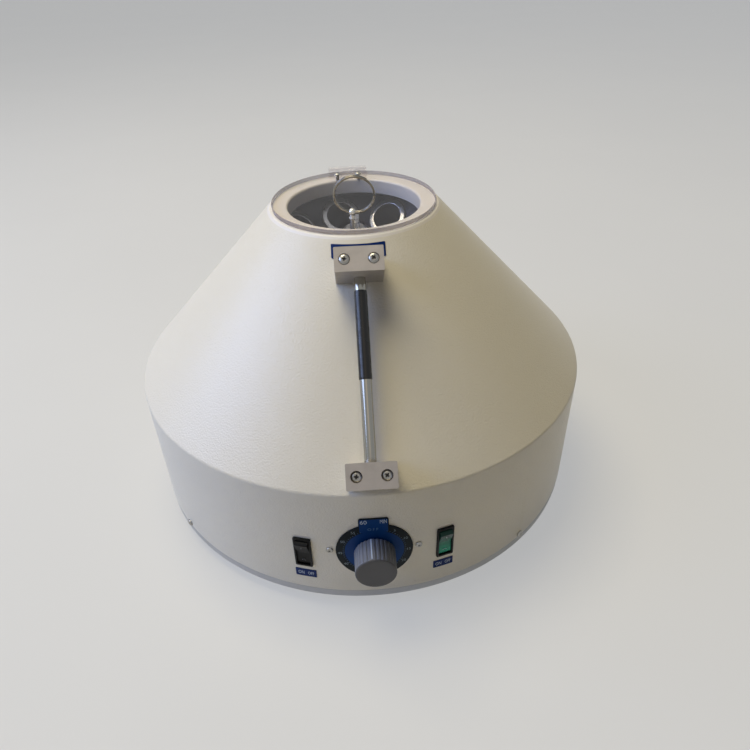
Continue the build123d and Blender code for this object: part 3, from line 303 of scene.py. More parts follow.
def hexagon(width, low, high, soften=0.25):
    corners = [(*polar(width / math.sqrt(3), 60 * k), soften) for k in range(6)]
    return prism(outline(corners, 2), low, high)


def swept(path, section):
    """Closed section carried along a path of (point, across, up) frames, with ends."""
    points, n = [], len(section)
    for at, across, up in path:
        for a, b in section:
            points.append(np.array(at) + np.array(across) * a + np.array(up) * b)
    faces = stitched(len(path), n)
    faces.append(list(range(n))[::-1])
    faces.append(list(range((len(path) - 1) * n, len(path) * n)))
    return np.array(points, float), faces


# Mesh tools


def scratch_object(shape, name="scratch"):
    points, faces = shape
    mesh = bpy.data.meshes.new(name)
    mesh.from_pydata([tuple(p) for p in points], [], faces)
    tidy = bmesh.new()
    tidy.from_mesh(mesh)
    bmesh.ops.remove_doubles(tidy, verts=tidy.verts, dist=1e-5)
    bmesh.ops.recalc_face_normals(tidy, faces=tidy.faces)
    tidy.to_mesh(mesh)
    tidy.free()
    obj = bpy.data.objects.new(name, mesh)
    bpy.context.scene.collection.objects.link(obj)
    return obj


def taken(obj):
    """The shape of an object with its modifiers, which is then removed."""
    graph = bpy.context.evaluated_depsgraph_get()
    mesh = bpy.data.meshes.new_from_object(obj.evaluated_get(graph))
    points = np.zeros(len(mesh.vertices) * 3)
    mesh.vertices.foreach_get("co", points)
    faces = [list(p.vertices) for p in mesh.polygons]
    bpy.data.objects.remove(obj)
    bpy.data.meshes.remove(mesh)
    return points.reshape(-1, 3), faces


def combined(shape, others, operation):
    """Boolean of a shape with several others."""
    base = scratch_object(shape)
    tools = [scratch_object(o) for o in others]
    for tool in tools:
        step = base.modifiers.new("cut", "BOOLEAN")
        step.operation = operation
        step.solver = "EXACT"
        step.object = tool
    result = taken(base)
    for tool in tools:
        bpy.data.objects.remove(tool)
    return result


def cut(shape, *others):
    return combined(shape, others, "DIFFERENCE")


def kept(shape, *others):
    return combined(shape, others, "INTERSECT")


def joined(shape, *others):
    return combined(shape, others, "UNION")


def bevelled(shape, width, segments=2, angle=35.0):
    """Breaks the sharp edges."""
    obj = scratch_object(shape)
    step = obj.modifiers.new("edges", "BEVEL")
    step.width = width
    step.segments = segments
    step.limit_method = "ANGLE"
    step.angle_limit = math.radians(angle)
    step.use_clamp_overlap = True
    return taken(obj)


def piece(name, shape, materials, body, replaced=None, smooth=32.0):
    """A shown piece of the object, riding on a CAD body, that may replace a node."""
    points, faces = shape
    obj = scratch_object((points * MM, faces), name)
    mesh = obj.data
    mesh.shade_smooth()
    mesh.set_sharp_from_angle(angle=math.radians(smooth))
    for material in materials if isinstance(materials, list) else [materials]:
        mesh.materials.append(material)
    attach(obj, body)
    if replaced:
        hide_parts(replaced)
    return obj


def second_material(obj, chosen):
    """Gives the faces whose centre, in metres, is chosen the object's second material."""
    for polygon in obj.data.polygons:
        if chosen(polygon.center):
            polygon.material_index = 1


# Materials


def srgb(r, g, b):
    """Linear colour from 0..255 values."""
    out = []
    for c in (r, g, b):
        c /= 255.0
        out.append(c / 12.92 if c <= 0.04045 else ((c + 0.055) / 1.055) ** 2.4)
    return (*out, 1.0)


def link(tree, a, a_socket, b, b_socket):
    tree.links.new(a.outputs[a_socket], b.inputs[b_socket])


def new_node(tree, kind, **values):
    """Shader node of a kind, with the values of its sockets. An underscore stands for a space."""
    node = tree.nodes.new("ShaderNode" + kind)
    for socket, value in values.items():
        node.inputs[socket.replace("_", " ")].default_value = value
    return node


def new_material(name):
    """Material with its node tree, its main shader and the object's coordinates."""
    material = bpy.data.materials.new(name)
    material.use_nodes = True
    tree = material.node_tree
    return material, tree, tree.nodes["Principled BSDF"], new_node(tree, "TexCoord")


def noise_node(tree, coords, scale, detail=3.0, stretch=None):
    node = new_node(tree, "TexNoise", Scale=scale, Detail=detail)
    if stretch:
        mapping = new_node(tree, "Mapping", Scale=stretch)
        link(tree, coords, "Object", mapping, "Vector")
        link(tree, mapping, "Vector", node, "Vector")
    else:
        link(tree, coords, "Object", node, "Vector")
    return node


def ranged(tree, source, socket, low, high, from_low=0.0, from_high=1.0):
    node = new_node(tree, "MapRange", From_Min=from_low, From_Max=from_high, To_Min=low, To_Max=high)
    link(tree, source, socket, node, "Value")
    return node


def noise_range(tree, coords, scale, low, high, from_low=0.0, from_high=1.0, detail=3.0, stretch=None):
    """Noise brought from one range of values to another."""
    noise = noise_node(tree, coords, scale, detail, stretch)
    return ranged(tree, noise, "Fac", low, high, from_low, from_high)


def mixed(tree, factor, a, b):
    """Mix of two colours by a value; a and b are colours or (node, socket)."""
    node = tree.nodes.new("ShaderNodeMix")
    node.data_type = "RGBA"
    link(tree, *factor, node, 0)
    for source, socket in ((a, 6), (b, 7)):
        if isinstance(source[0], (int, float)):
            node.inputs[socket].default_value = source
        else:
            link(tree, *source, node, socket)
    return node


def blended(tree, factor, a, b):
    """Mix of two shaders by a value."""
    node = tree.nodes.new("ShaderNodeMixShader")
    link(tree, *factor, node, 0)
    link(tree, a, 0, node, 1)
    link(tree, b, 0, node, 2)
    return node


def maths(tree, operation, a, b):
    """Result of a named operation on two sources, each a (node, socket) or a number."""
    node = tree.nodes.new("ShaderNodeMath")
    node.operation = operation
    for socket, source in enumerate((a, b)):
        if isinstance(source, float):
            node.inputs[socket].default_value = source
        else:
            link(tree, *source, node, socket)
    return node


def bumped(tree, grain, height, before=None):
    bump = new_node(tree, "Bump", Distance=height)
    link(tree, grain, "Fac", bump, "Height")
    if before:
        link(tree, before, "Normal", bump, "Normal")
    return bump


def surface(
    name, colour, rough, bumps=((900.0, 0.00004),), metallic=0.0, shade=0.12, shade_scale=14.0,
    rough_spread=0.08, rough_scale=60.0, stretch=None, specks=0.0, specular=0.5, grain_detail=2.0,
):
    """Surface with uneven tone, uneven gloss, fine bump, and optional brushing and dust."""
    material, tree, shader, coords = new_material(name)
    shader.inputs["Metallic"].default_value = metallic
    shader.inputs["Specular IOR Level"].default_value = specular
    colour = srgb(*colour)
    tone = noise_range(tree, coords, shade_scale, 0.0, 1.0, 0.3, 0.7, 4.0)
    dark = (*[c * (1 - shade) for c in colour[:3]], 1.0)
    colours = mixed(tree, (tone, "Result"), dark, colour)
    if specks:
        spots = noise_range(tree, coords, 1400.0, 0.0, specks, 0.62, 0.72, 2.0)
        pale = (*[min(1.0, c * 1.2 + 0.05) for c in colour[:3]], 1.0)
        colours = mixed(tree, (spots, "Result"), (colours, 2), pale)
    link(tree, colours, 2, shader, "Base Color")
    low, high = max(0.02, rough - rough_spread), min(1.0, rough + rough_spread)
    gloss = noise_range(tree, coords, rough_scale, low, high, 0.25, 0.75, stretch=stretch)
    link(tree, gloss, "Result", shader, "Roughness")
    last = None
    for scale, height in bumps:
        last = bumped(tree, noise_node(tree, coords, scale, grain_detail, stretch), height, last)
    link(tree, last, "Normal", shader, "Normal")
    return material


def fine(scale, height=0.00002):
    return ((scale, height),)


cream = surface(
    "cream_paint", (226, 222, 208), 0.29, ((760.0, 0.0003), (1700.0, 0.00004)), shade=0.03,
    shade_scale=5.0, rough_spread=0.01, rough_scale=8.0, grain_detail=1.0,
)
flange_paint = surface("flange_paint", (232, 229, 224), 0.4, fine(420.0, 0.00012), shade=0.05)
base_paint = surface(
    "base_paint", (186, 187, 188), 0.36, fine(700.0, 0.00006), metallic=0.4, shade=0.14, shade_scale=30.0
)
block_metal = surface(
    "block_aluminium", (176, 170, 164), 0.44, fine(800.0, 0.00003), metallic=0.5,
    shade_scale=120.0, rough_spread=0.1, stretch=(1.0, 14.0, 14.0),
)
chrome = surface(
    "polished_chrome", (168, 166, 158), 0.16, fine(300.0, 0.00001), metallic=1.0,
    shade=0.04, rough_spread=0.05,
)
ring_wire = surface(
    "ring_wire", (152, 148, 140), 0.15, fine(700.0), metallic=1.0, shade=0.1, rough_spread=0.06
)
post_metal = surface("post_metal", (226, 223, 216), 0.3, fine(900.0), metallic=0.8, shade=0.08)
# Dark colour for the bottoms of the screws' cross recesses: painted shade.
slot_dark = surface("slot_painted_shade", (34, 29, 25), 0.5, fine(1800.0), shade=0.2)
zinc = surface("zinc_screw", (176, 174, 168), 0.32, fine(1500.0), metallic=0.95, shade=0.2, shade_scale=300.0)
stainless = surface(
    "stainless", (180, 180, 180), 0.3, fine(900.0), metallic=1.0, shade=0.1, stretch=(12.0, 1.0, 1.0)
)
black_sleeve = surface(
    "black_sleeve", (22, 22, 22), 0.24, fine(240.0, 0.00006), shade=0.3, shade_scale=70.0, rough_spread=0.09
)
rubber = surface("black_rubber", (28, 28, 28), 0.75, fine(1300.0, 0.00006), shade=0.2, specks=0.2)
switch_black = surface(
    "switch_black", (12, 12, 11), 0.42, fine(2600.0, 0.00003), shade=0.2, specular=0.15, rough_spread=0.07
)
knob_grey, knob_face = [
    surface(name, colour, rough, fine(2200.0, 0.00003), shade=0.08, shade_scale=90.0)
    for name, colour, rough in (("knob_grey", (114, 118, 128), 0.4), ("knob_face", (75, 75, 77), 0.46))
]
print_white, print_dim, print_faint = [
    surface(name, colour, 0.5, fine(2600.0), shade=0.1, shade_scale=900.0)
    for name, colour in (
        ("print_white", (196, 210, 226)),
        ("print_dim", (126, 140, 146)),
        ("print_faint", (92, 130, 166)),
    )
]
mark_grey = surface("mark_grey", (120, 122, 126), 0.5, fine(2600.0), shade=0.1)
dial_navy = surface("dial_navy", (4, 17, 22), 0.5, fine(1800.0), shade=0.2, specular=0.12)
dial_blue = surface("dial_blue", (0, 58, 118), 0.5, fine(1800.0), specular=0.12)
label_blue = surface("label_blue", (0, 38, 96), 0.5, fine(1600.0), specular=0.15)
motor_paint = surface("motor_paint", (60, 66, 72), 0.5, fine(260.0, 0.0002), shade=0.2, specks=0.1)
galvanised = surface(
    "galvanised", (150, 152, 154), 0.42, fine(90.0, 0.00006), metallic=0.8, shade=0.25, shade_scale=60.0
)
rotor_metal = surface(
    "rotor_metal", (38, 40, 54), 0.38, fine(600.0, 0.00003), metallic=0.3,
    specular=0.25, shade=0.2, shade_scale=40.0,
)
sleeve_metal = surface(
    "sleeve_metal", (196, 197, 200), 0.26, fine(800.0), metallic=0.95, shade=0.15, shade_scale=60.0
)
# Darker, rougher metal for the inside of the sleeves' bores: painted shade.
sleeve_dark = surface("sleeve_bore", (96, 97, 99), 0.5, metallic=0.7, shade=0.3, shade_scale=60.0)
brass_pin = surface("contact_metal", (200, 190, 160), 0.3, metallic=1.0, shade=0.1)


def clear_sheet(name, gloss_rough, haze_low, haze_high, haze_and_shade_colour=(0.86, 0.85, 0.85, 1.0)):
    """Clear plastic sheet: what is behind shows straight through, under a gloss and a haze of a given colour;
    on the lid's edge that haze is strong and dark, a painted shade.
    """
    material, tree, shader, coords = new_material(name)
    shader.inputs["Base Color"].default_value = haze_and_shade_colour
    stretch = (1.0, 4.0, 1.0)
    smear = noise_range(tree, coords, 60.0, gloss_rough, gloss_rough + 0.05, 0.4, 0.8, 5.0, stretch)
    mirror = new_node(tree, "BsdfGlossy", Color=(0.97, 0.96, 0.96, 1.0))
    link(tree, smear, "Result", mirror, "Roughness")
    edge_on = new_node(tree, "LayerWeight", Blend=0.5)
    steep = maths(tree, "POWER", (edge_on, "Facing"), 6.5)
    share = ranged(tree, steep, "Value", 0.02, 0.9)
    clear = new_node(tree, "BsdfTransparent", Color=(0.975, 0.968, 0.97, 1.0))
    veil = noise_range(tree, coords, 22.0, haze_low, haze_high, 0.3, 0.7, 4.0)
    milky = blended(tree, (veil, "Result"), clear, shader)
    blend = blended(tree, (share, "Result"), milky, mirror)
    link(tree, blend, 0, tree.nodes["Material Output"], "Surface")
    return material


acrylic = clear_sheet("clear_lid", 0.03, 0.0, 0.012)
# The lid's cut edge: a strong dark haze, painted shade for the dark line along its rim.
acrylic_edge = clear_sheet("clear_lid_edge", 0.12, 0.6, 0.8, (0.20, 0.17, 0.20, 1.0))
clear_hinge = clear_sheet("clear_hinge", 0.05, 0.0, 0.01)


def lit_green():
    """Green rocker: dark translucent plastic, its lower half painted brighter and given a faint glow: painted
    light.
    """
    material, tree, shader, coords = new_material("rocker_green")
    parts = new_node(tree, "SeparateXYZ")
    link(tree, coords, "Object", parts, "Vector")
    # Painted light: a brighter colour and a faint glow towards the lower half.
    low = ranged(tree, parts, "Z", 1.0, 0.0, 0.0545, 0.0735)
    uneven = noise_range(tree, coords, 260.0, 0.7, 1.15, 0.3, 0.7)
    lit = maths(tree, "MULTIPLY", (low, "Result"), (uneven, "Result"))
    colours = mixed(tree, (lit, "Value"), srgb(5, 52, 40), srgb(14, 118, 86))
    link(tree, colours, 2, shader, "Base Color")
    glow = mixed(tree, (lit, "Value"), (0.0, 0.004, 0.002, 1.0), (0.004, 0.075, 0.05, 1.0))
    link(tree, glow, 2, shader, "Emission Color")
    shader.inputs["Emission Strength"].default_value = 0.6
    shader.inputs["Specular IOR Level"].default_value = 0.25
    gloss = noise_range(tree, coords, 300.0, 0.18, 0.3, detail=2.0)
    link(tree, gloss, "Result", shader, "Roughness")
    ribs = noise_node(tree, coords, 1800.0, 2.0)
    link(tree, bumped(tree, ribs, 0.00003), "Normal", shader, "Normal")
    return material


rocker_green = lit_green()


# Shared pieces


def cross_slot(head_radius, head_top, depth, full=1.0):
    """Tapered cross, pointing down: a recess cutter, or with full below 1 the painted shade at its bottom."""
    arms = []
    wide = 0.2 * head_radius * (0.6 + 0.4 * full)
    reach = 0.6 * head_radius
    over = reach * (0.35 + 0.65 * full)
    top_z = head_top - depth + (depth + 0.6) * full
    half, short = 0.12 * head_radius, 0.35 * reach
    points = [(x, y, head_top - depth) for x, y in oblong(-short, -half, short, half)]
    points += [(x, y, top_z) for x, y in oblong(-over, -wide, over, wide)]
    faces = [[3, 2, 1, 0], [4, 5, 6, 7]] + [[k, (k + 1) % 4, 4 + (k + 1) % 4, 4 + k] for k in range(4)]
    for angle in (0, 90):
        arms.append(put((np.array(points, float), faces), turn(angle, "Z")))
    return arms


def pan_screw(radius, head_radius, head_height, length):
    """Pan head screw with a cross recess: head above Z = 0, shank below."""
    corners = [
        (0, -length), (radius, -length, 0.3), (radius, 0), (head_radius, 0, 0.15),
        (head_radius, 0.42 * head_height, 0.35 * head_height),
        (0.72 * head_radius, 0.86 * head_height, 0.8 * head_height), (0, head_height),
    ]
    return cut(lathe(corners, 48, 5), *cross_slot(head_radius, head_height, 0.62 * head_height))


def slot_shade(head_radius, head_height):
    """Painted shade: dark colour at the bottom of a pan head's cross recess, where shadow falls."""
    return together(*cross_slot(head_radius, head_height, 0.62 * head_height, 0.3))


def hex_nut(width, height, bore):
    flat, point = width / 2 + 0.1, width / math.sqrt(3)
    corners = [(0, 0), (flat, 0), (point, 0.5), (point, height - 0.5), (flat, height), (0, height)]
    nut = kept(hexagon(width, 0, height, 0.1), lathe(corners, 48))
    return cut(nut, rod(bore, -1, height + 1, 32))


def curved(shape, radius):
    """Bends a flat shape (X across, Y up, Z outward) round the skirt's surface."""
    points, faces = shape
    angle = points[:, 0] / radius
    r = radius + points[:, 2]
    return np.stack([r * np.sin(angle), -r * np.cos(angle), points[:, 1]], axis=1), faces


def cone_point(slant, out=0.0):
    """Radius and height of a point up the cone's slope and out from its surface."""
    r = BODY_R - slant * SLOPE_COS + out * SLOPE_SIN
    return r, SHOULDER_Z + slant * SLOPE_SIN + out * SLOPE_COS


def wrapped_on_cone(shape):
    """Bends a flat shape (X across, Y up the slope, Z outward) round the cone."""
    points, faces = shape
    x, slant, out = points.T
    angle = x / cone_point(slant)[0]
    r, z = cone_point(slant, out)
    return np.stack([r * np.sin(angle), -r * np.cos(angle), z], axis=1), faces


def sliced(shape):
    """Cuts a flat shape into strips 1 mm wide across X so that it can bend."""
    obj = scratch_object(shape)
    mesh = bmesh.new()
    mesh.from_mesh(obj.data)
    x = min(v.co.x for v in mesh.verts) + 1.0
    high = max(v.co.x for v in mesh.verts)
    while x < high - 1e-6:
        geometry = list(mesh.verts) + list(mesh.edges) + list(mesh.faces)
        bmesh.ops.bisect_plane(mesh, geom=geometry, dist=1e-6, plane_co=(x, 0, 0), plane_no=(1, 0, 0))
        x += 1.0
    mesh.to_mesh(obj.data)
    mesh.free()
    return taken(obj)


def lettering(text, height, thickness=0.06, spacing=1.0, wide=None):
    """Flat text centred on the origin, its back at Z = 0, stretched to a width if one is given."""
    data = bpy.data.curves.new("text", "FONT")
    data.body = text
    data.align_x = "CENTER"
    data.align_y = "CENTER"
    data.size = height / 0.7
    data.extrude = thickness / 2
    data.space_character = spacing
    data.resolution_u = 3
    obj = bpy.data.objects.new("text", data)
    bpy.context.scene.collection.objects.link(obj)
    points, faces = taken(obj)
    for axis in (0, 1):
        points[:, axis] -= (points[:, axis].min() + points[:, axis].max()) / 2
    points[:, 2] += thickness / 2
    if wide:
        points[:, 0] *= wide / np.ptp(points[:, 0])
    return points, faces


def envelope():
    """Solid inside the skirt and cone, grown outward by the surface gap."""
    side, top = BODY_R + SURFACE_GAP, TOP_R + SURFACE_GAP / SLOPE_SIN
    shoulder, above = SHOULDER_Z + SURFACE_GAP * HALF_TURN, RIM_Z + 40.0
    wall = [(side, SKIRT_Z), (side, shoulder), (top, RIM_Z), (top, above)]
    return lathe([(0, SKIRT_Z), *wall, (0, above)], 720)


# Housing


def housing():
    inner = BODY_R - SHEET
    shell = lathe([(inner, SKIRT_Z), (BODY_R, SKIRT_Z, 0.9), (BODY_R, WELD_Z), (inner, WELD_Z)], 480, 4)
    tools = holes(2.2, 5, [outward(a, BODY_R, LOW_SCREW_Z) for a in SCREW_RING])
    tools += holes(4.8, 6, [outward(0, BODY_R, DIAL_Z)])
    tools += holes(PANEL_HOLE, 6, [outward(s * TIMER_AZ, BODY_R, DIAL_Z) for s in SIDES])
    for azimuth, height in SWITCHES.values():
        tools.append(put(block(12.6, 28.8, 12), outward(azimuth, BODY_R, height)))
    tools.append(put(block(20.6, 28.2, 12), outward(INLET_AZ, BODY_R, INLET_Z)))
    tools += holes(PANEL_HOLE, 6, [outward(INLET_AZ, BODY_R, INLET_Z + s * INLET_SCREW_UP) for s in SIDES])
    tools += holes(6.5, 8, [outward(FUSE_AZ, BODY_R, INLET_Z)])
    piece("skirt", cut(shell, *tools), cream, "housing", "housing_skirt")

    run = SHEET / SLOPE_SIN
    top = RIM_Z - SHEET
    top_r = TOP_R + SHEET / math.tan(SLOPE)
    corners = [
        (inner, WELD_Z), (BODY_R, WELD_Z), (BODY_R, SHOULDER_Z, 4.0), (top_r, top),
        (top_r - run, top), (inner, SHOULDER_Z - SHEET * HALF_TURN, 2.0),
    ]
    tools = []
    for azimuth, upper in HANDLES.values():
        for slant in (LOWER_BLOCK, upper):
            tools += holes(HANDLE_HOLE, 6, [on_slope(s * HANDLE_PITCH / 2, slant, 0, azimuth) for s in SIDES])
    tools += holes(FINE_HOLE, 6, [body_hinge_screw(s) for s in SIDES])
    cone = cut(lathe(corners, 480, 8), *tools)
    piece("cone", cone, cream, "housing", "housing_cone")

    corners = [
        (MOUTH_R, COLLAR_Z, 0.5), (MOUTH_R + SHEET, COLLAR_Z, 0.5), (MOUTH_R + SHEET, top),
        (top_r, top), (TOP_R, RIM_Z, 2.0), (MOUTH_R, RIM_Z, 2.0),
    ]
    piece("mouth_flange", lathe(corners, 256, 6), flange_paint, "housing", "mouth_ring")


def base():
    """Base plate with its deep rim, lip and vents, its feet and the low screws."""
    edge = BODY_R - 0.4
    lip = BODY_R - SHEET - 0.5
    rim, wall = edge - 10, lip - 2.5
    low, under, top, lip_top = 12.0, 14.0, 17.0, 34.0
    corners = [
        (0, under), (rim, under), (rim, low, 0.5), (edge, low, 1.2), (edge, SKIRT_Z, 1.0),
        (lip, SKIRT_Z), (lip, lip_top, 0.4), (wall, lip_top, 0.4), (wall, top, 2.0), (0, top),
    ]
    long, wide = 12.0, 3.0
    arc = [polar(wide, a) for a in range(-90, 91, 18)]
    slot = [(long + x, y) for x, y in arc] + [(-long - x, -y) for x, y in arc]
    tools = [put(prism(slot, 5, 25), spin(30 * (k + 0.5)) @ move(0, -VENT_RING, 0)) for k in range(12)]
    for azimuth in CROSS_ANGLES:
        tools += holes(2.8, 12, [spin(azimuth) @ move(0, -out, 17) for out in (FOOT_RING, POST_RING)])
    tools += holes(1.95, 4, [outward(a, lip, LOW_SCREW_Z) for a in SCREW_RING])
    plate = cut(lathe(corners, 360, 4), *tools)
    piece("base", plate, base_paint, "housing", "base_plate")

    corners = [(2.8, 4.0), (6.0, 4.0, 0.3), (6.0, 0, 0.4), (14.0, 0, 1.5), (17.0, under, 0.6), (2.8, under)]
    feet = at_each(lathe(corners, 64, 4), [spin(a) @ move(0, -FOOT_RING, 0) for a in CROSS_ANGLES])
    piece("feet", feet, rubber, "housing", "rubber_feet")

    screw = put(pan_screw(1.9, 3.1, 1.9, 7.0), turn(25, "Z"))
    screws = at_each(screw, [outward(a, BODY_R, LOW_SCREW_Z) for a in SCREW_RING])
    piece("skirt_screws", screws, zinc, "housing", "shell_screws")


# Handles


def handle(name, azimuth, upper):
    grown = envelope()
    half, tall = BLOCK_SIZE[1] / 2, BLOCK_SIZE[2]
    blocks = (("lower", LOWER_BLOCK, 1), ("upper", upper, -1))
    for which, slant, toward in blocks:
        tools = []
        for side in SIDES:
            place = move(side * HANDLE_PITCH / 2, 0, 0)
            tools.append(put(rod(HANDLE_HOLE, -10, 40, 40), place))
            tools.append(put(rod(4.1, BLOCK_TOP - SCREW_SUNK[which], 40, 56), place))
        socket = put(rod(4.3, -6.0, 8.0, 56), turn(-90 * toward, "X"))
        tools.append(put(socket, move(0, toward * half, BAR_UP)))
        body = put(block(*BLOCK_SIZE, 0.8), move(0, 0, tall / 2 - BLOCK_DEEP))
        body = cut(put(cut(body, *tools), on_slope(0, slant, 0, azimuth)), grown)
        names = (name + "_" + which + "_block", name + "_handle_" + which + "_block")
        piece(names[0], bevelled(body, 0.45, 3, 40), block_metal, "housing", names[1])

    along = on_slope(0, 0, BAR_UP, azimuth)
    bar = put(rod(BAR_R, LOWER_BLOCK + half - 6, upper - half + 6, 64, 0.4), turn(-90, "X"))
    piece(name + "_bar", put(bar, along), chrome, "housing", name + "_handle_rod")
    sleeve = put(grip_sleeve(upper - half - 9.5), along)
    piece(name + "_sleeve", sleeve, black_sleeve, "housing", name + "_handle_grip")

    radius, head_radius, head_height = HANDLE_SCREW
    nut_wide = 7.0
    nut = hex_nut(nut_wide, 3.2, 2.05)
    bolts, shade_marks = [], []
    for which, slant, _ in blocks:
        for side in SIDES:
            x = side * HANDLE_PITCH / 2
            seat = BLOCK_TOP - SCREW_SUNK[which]
            bend = cone_point(slant)[0] / SLOPE_SIN
            dip = (HANDLE_PITCH / 2 + nut_wide / math.sqrt(3)) ** 2 / (2 * bend)
            place = on_slope(x, slant, seat, azimuth) @ turn(20 + 31 * side, "Z")
            bolts.append(put(pan_screw(radius, head_radius, head_height, seat + 7.2 + dip), place))
            shade_marks.append(put(slot_shade(head_radius, head_height), place))
            bolts.append(put(nut, on_slope(x, slant, -5.25 - dip, azimuth)))
    piece(name + "_bolts", together(*bolts), zinc, "housing", name + "_handle_screws")
    # Painted shade in the bolts' cross recesses.
    piece(name + "_bolt_slots", together(*shade_marks), slot_dark, "housing")


def grip_sleeve(high):
    """Thin sleeve shrunk on the bar: rounded ends and a slightly uneven outside."""
    low, inner, outer = high - 64.0, 4.28, 4.7
    section = outline([(inner, low, 0.1), (outer, low, 0.3), (outer, high, 0.3), (inner, high, 0.1)], 4)
    fine_section = []
    for k, (r, z) in enumerate(section):
        fine_section.append((r, z))
        next_z = section[(k + 1) % len(section)][1]
        if abs(next_z - z) > 20:
            fine_section += [(r, z + (next_z - z) * j / 40) for j in range(1, 40)]
    points, faces = lathe(fine_section, 64)
    for p in points:
        r = math.hypot(p[0], p[1])
        if r > 4.5:
            wave = 0.04 * math.sin(p[2] * 0.55) + 0.03 * math.sin(p[2] * 1.3 + 2 * math.atan2(p[1], p[0]))
            p[:2] *= (r + wave) / r
    return put((points, faces), turn(-90, "X"))


# Lid, hinge, post and ring


def lid():
    def on_lid(side, z=LID_TOP):
        return move(HARDWARE_X + side * LID_SCREW_X, LID_SCREW_Y, z)

    disc = lathe([(0, LID_Z), (LID_R, LID_Z, 0.4), (LID_R, LID_TOP, 0.4), (0, LID_TOP)], 256, 3)
    tools = holes(1.5, 8, [on_lid(s) for s in SIDES])
    tools += holes(1.55, 8, [move(POST_X, POST_Y, LID_TOP)])
    sheet = piece("lid_sheet", cut(disc, *tools), [acrylic, acrylic_edge], "lid", "lid_disc")
    # The rim's faces take the edge material with its painted shade.
    second_material(sheet, lambda at: math.hypot(at.x, at.y) > (LID_R - 0.5) * MM)

    axis = move(HARDWARE_X, HINGE_Y, HINGE_Z) @ turn(90, "Y")
    front, back = HINGE_Y - KNUCKLE_R - LEAF_LONG, HINGE_Y - 0.4
    corners = [(-LEAF_HALF, front, 3.0), (LEAF_HALF, front, 3.0), (LEAF_HALF, back), (-LEAF_HALF, back)]
    leaf = put(prism(outline(corners, 6), LID_TOP, LID_TOP + LEAF_THICK), move(HARDWARE_X, 0, 0))
    wide = LEAF_HALF - KNUCKLE_HALF + 1
    middle = KNUCKLE_HALF + KNUCKLE_GAP + wide / 2
    tools = [put(block(wide, 6.6, 10), move(HARDWARE_X + s * middle, HINGE_Y, HINGE_Z)) for s in SIDES]
    leaf = joined(cut(leaf, *tools), put(rod(KNUCKLE_R, -KNUCKLE_HALF, KNUCKLE_HALF, 48), axis))
    tools = [put(rod(1.05, -20, 20, 32), axis)]
    tools += holes(FINE_HOLE, 4, [on_lid(s) for s in SIDES])
    leaf = bevelled(cut(leaf, *tools), 0.15, 2, 40)
    piece("lid_leaf", leaf, clear_hinge, "lid", "hinge_leaf_lid")
    places = [on_lid(s, LID_TOP + LEAF_THICK) @ turn(30 * s, "Z") for s in SIDES]
    screws = at_each(pan_screw(*FINE_SCREW, 4.7), places)
    piece("lid_leaf_screws", screws, zinc, "lid", "hinge_lid_screws")

    low, under, over, high = -16.0, 0.05, 1.25, 0.4
    corners = ((low, under), (low, over), (high, over), (high, under))
    section = [cone_point(SLOPE_LONG + slant, out) for slant, out in corners]
    fixed = kept(lathe(section, 360), put(block(34, 60, 60), move(HARDWARE_X, HINGE_Y + 20, RIM_Z - 20)))
    knuckle_start = KNUCKLE_HALF + 2 * KNUCKLE_GAP
    for start, end in ((-LEAF_HALF, -knuckle_start), (knuckle_start, LEAF_HALF)):
        middle = HARDWARE_X + (start + end) / 2
        arm = put(block(end - start, 2.0, 5.4), move(middle, HINGE_Y + 0.9, HINGE_Z - 3.2))
        fixed = joined(fixed, arm, put(rod(KNUCKLE_R, start, end, 48), axis))
    clear = KNUCKLE_HALF + KNUCKLE_GAP
    tools = [put(rod(1.02, -20, 20, 32), axis), put(rod(3.1, -clear, clear, 48), axis)]
    tools += holes(FINE_HOLE, 6, [body_hinge_screw(s) for s in SIDES])
    fixed = bevelled(cut(fixed, *tools), 0.12, 2, 40)
    piece("fixed_leaf", fixed, clear_hinge, "housing", "hinge_leaf_body")
    pin = put(rod(1.0, -17.8, 17.8, 32, 0.5), axis)
    piece("pin", pin, clear_hinge, "housing", "hinge_pin")
    places = [body_hinge_screw(s) @ move(0, 0, over) @ turn(20, "Z") for s in SIDES]
    screws = at_each(pan_screw(*FINE_SCREW, 5.25), places)
    piece("fixed_leaf_screws", screws, zinc, "housing", "hinge_body_screws")


def ring_post():
    corners = [
        (0, -9.5), (1.5, -9.5, 0.3), (1.5, 0), (2.7, 0, 0.1), (2.7, 0.7, 0.25), (1.8, 0.95, 0.3),
        (1.8, EYE_UP), (0, EYE_UP),
    ]
    stem = lathe(corners, 48, 3)
    ball_r = 2.9
    ball = [(0, EYE_UP - ball_r)]
    ball += [(r, EYE_UP + z) for r, z in (polar(ball_r, a) for a in range(-85, 86, 5))]
    ball.append((0, EYE_UP + ball_r))
    post = joined(stem, lathe(ball, 48))
    eye = put(rod(1.75, -8, 8, 40), move(0, 0, EYE_UP) @ turn(EYE_TWIST, "Y") @ turn(90, "Y"))
    post = put(bevelled(cut(post, eye), 0.12, 2, 45), move(POST_X, POST_Y, LID_TOP))
    piece("post", post, post_metal, "lid", "ring_post")


def pull_ring():
    """Split ring: flat sided wire wound almost twice, its ends squared off."""
    mean, wide, thick, gap, turns, steps = 15.2, 1.6, 0.9, 0.45, 1.85, 260
    rise = (thick + gap) * turns
    path = []
    for k in range(steps + 1):
        a = 2 * math.pi * turns * k / steps
        radial = np.array((math.cos(a), math.sin(a), 0.0))
        path.append((radial * mean + np.array((0, 0, rise * (k / steps - 0.5))), radial, (0, 0, 1)))
    section = oblong(-wide / 2, -thick / 2, wide / 2, thick / 2, 0.3, 4)
    coil = bevelled(swept(path, section), 0.12, 2, 60)
    eye = move(POST_X, POST_Y, LID_TOP + EYE_UP) @ turn(EYE_TWIST, "Y")
    place = eye @ turn(90 + RING_LEAN, "X") @ move(0, mean, 0) @ turn(60, "Z")
    piece("split_ring", put(coil, place), ring_wire, "ring", "pull_ring")


# Dial, knob and timer


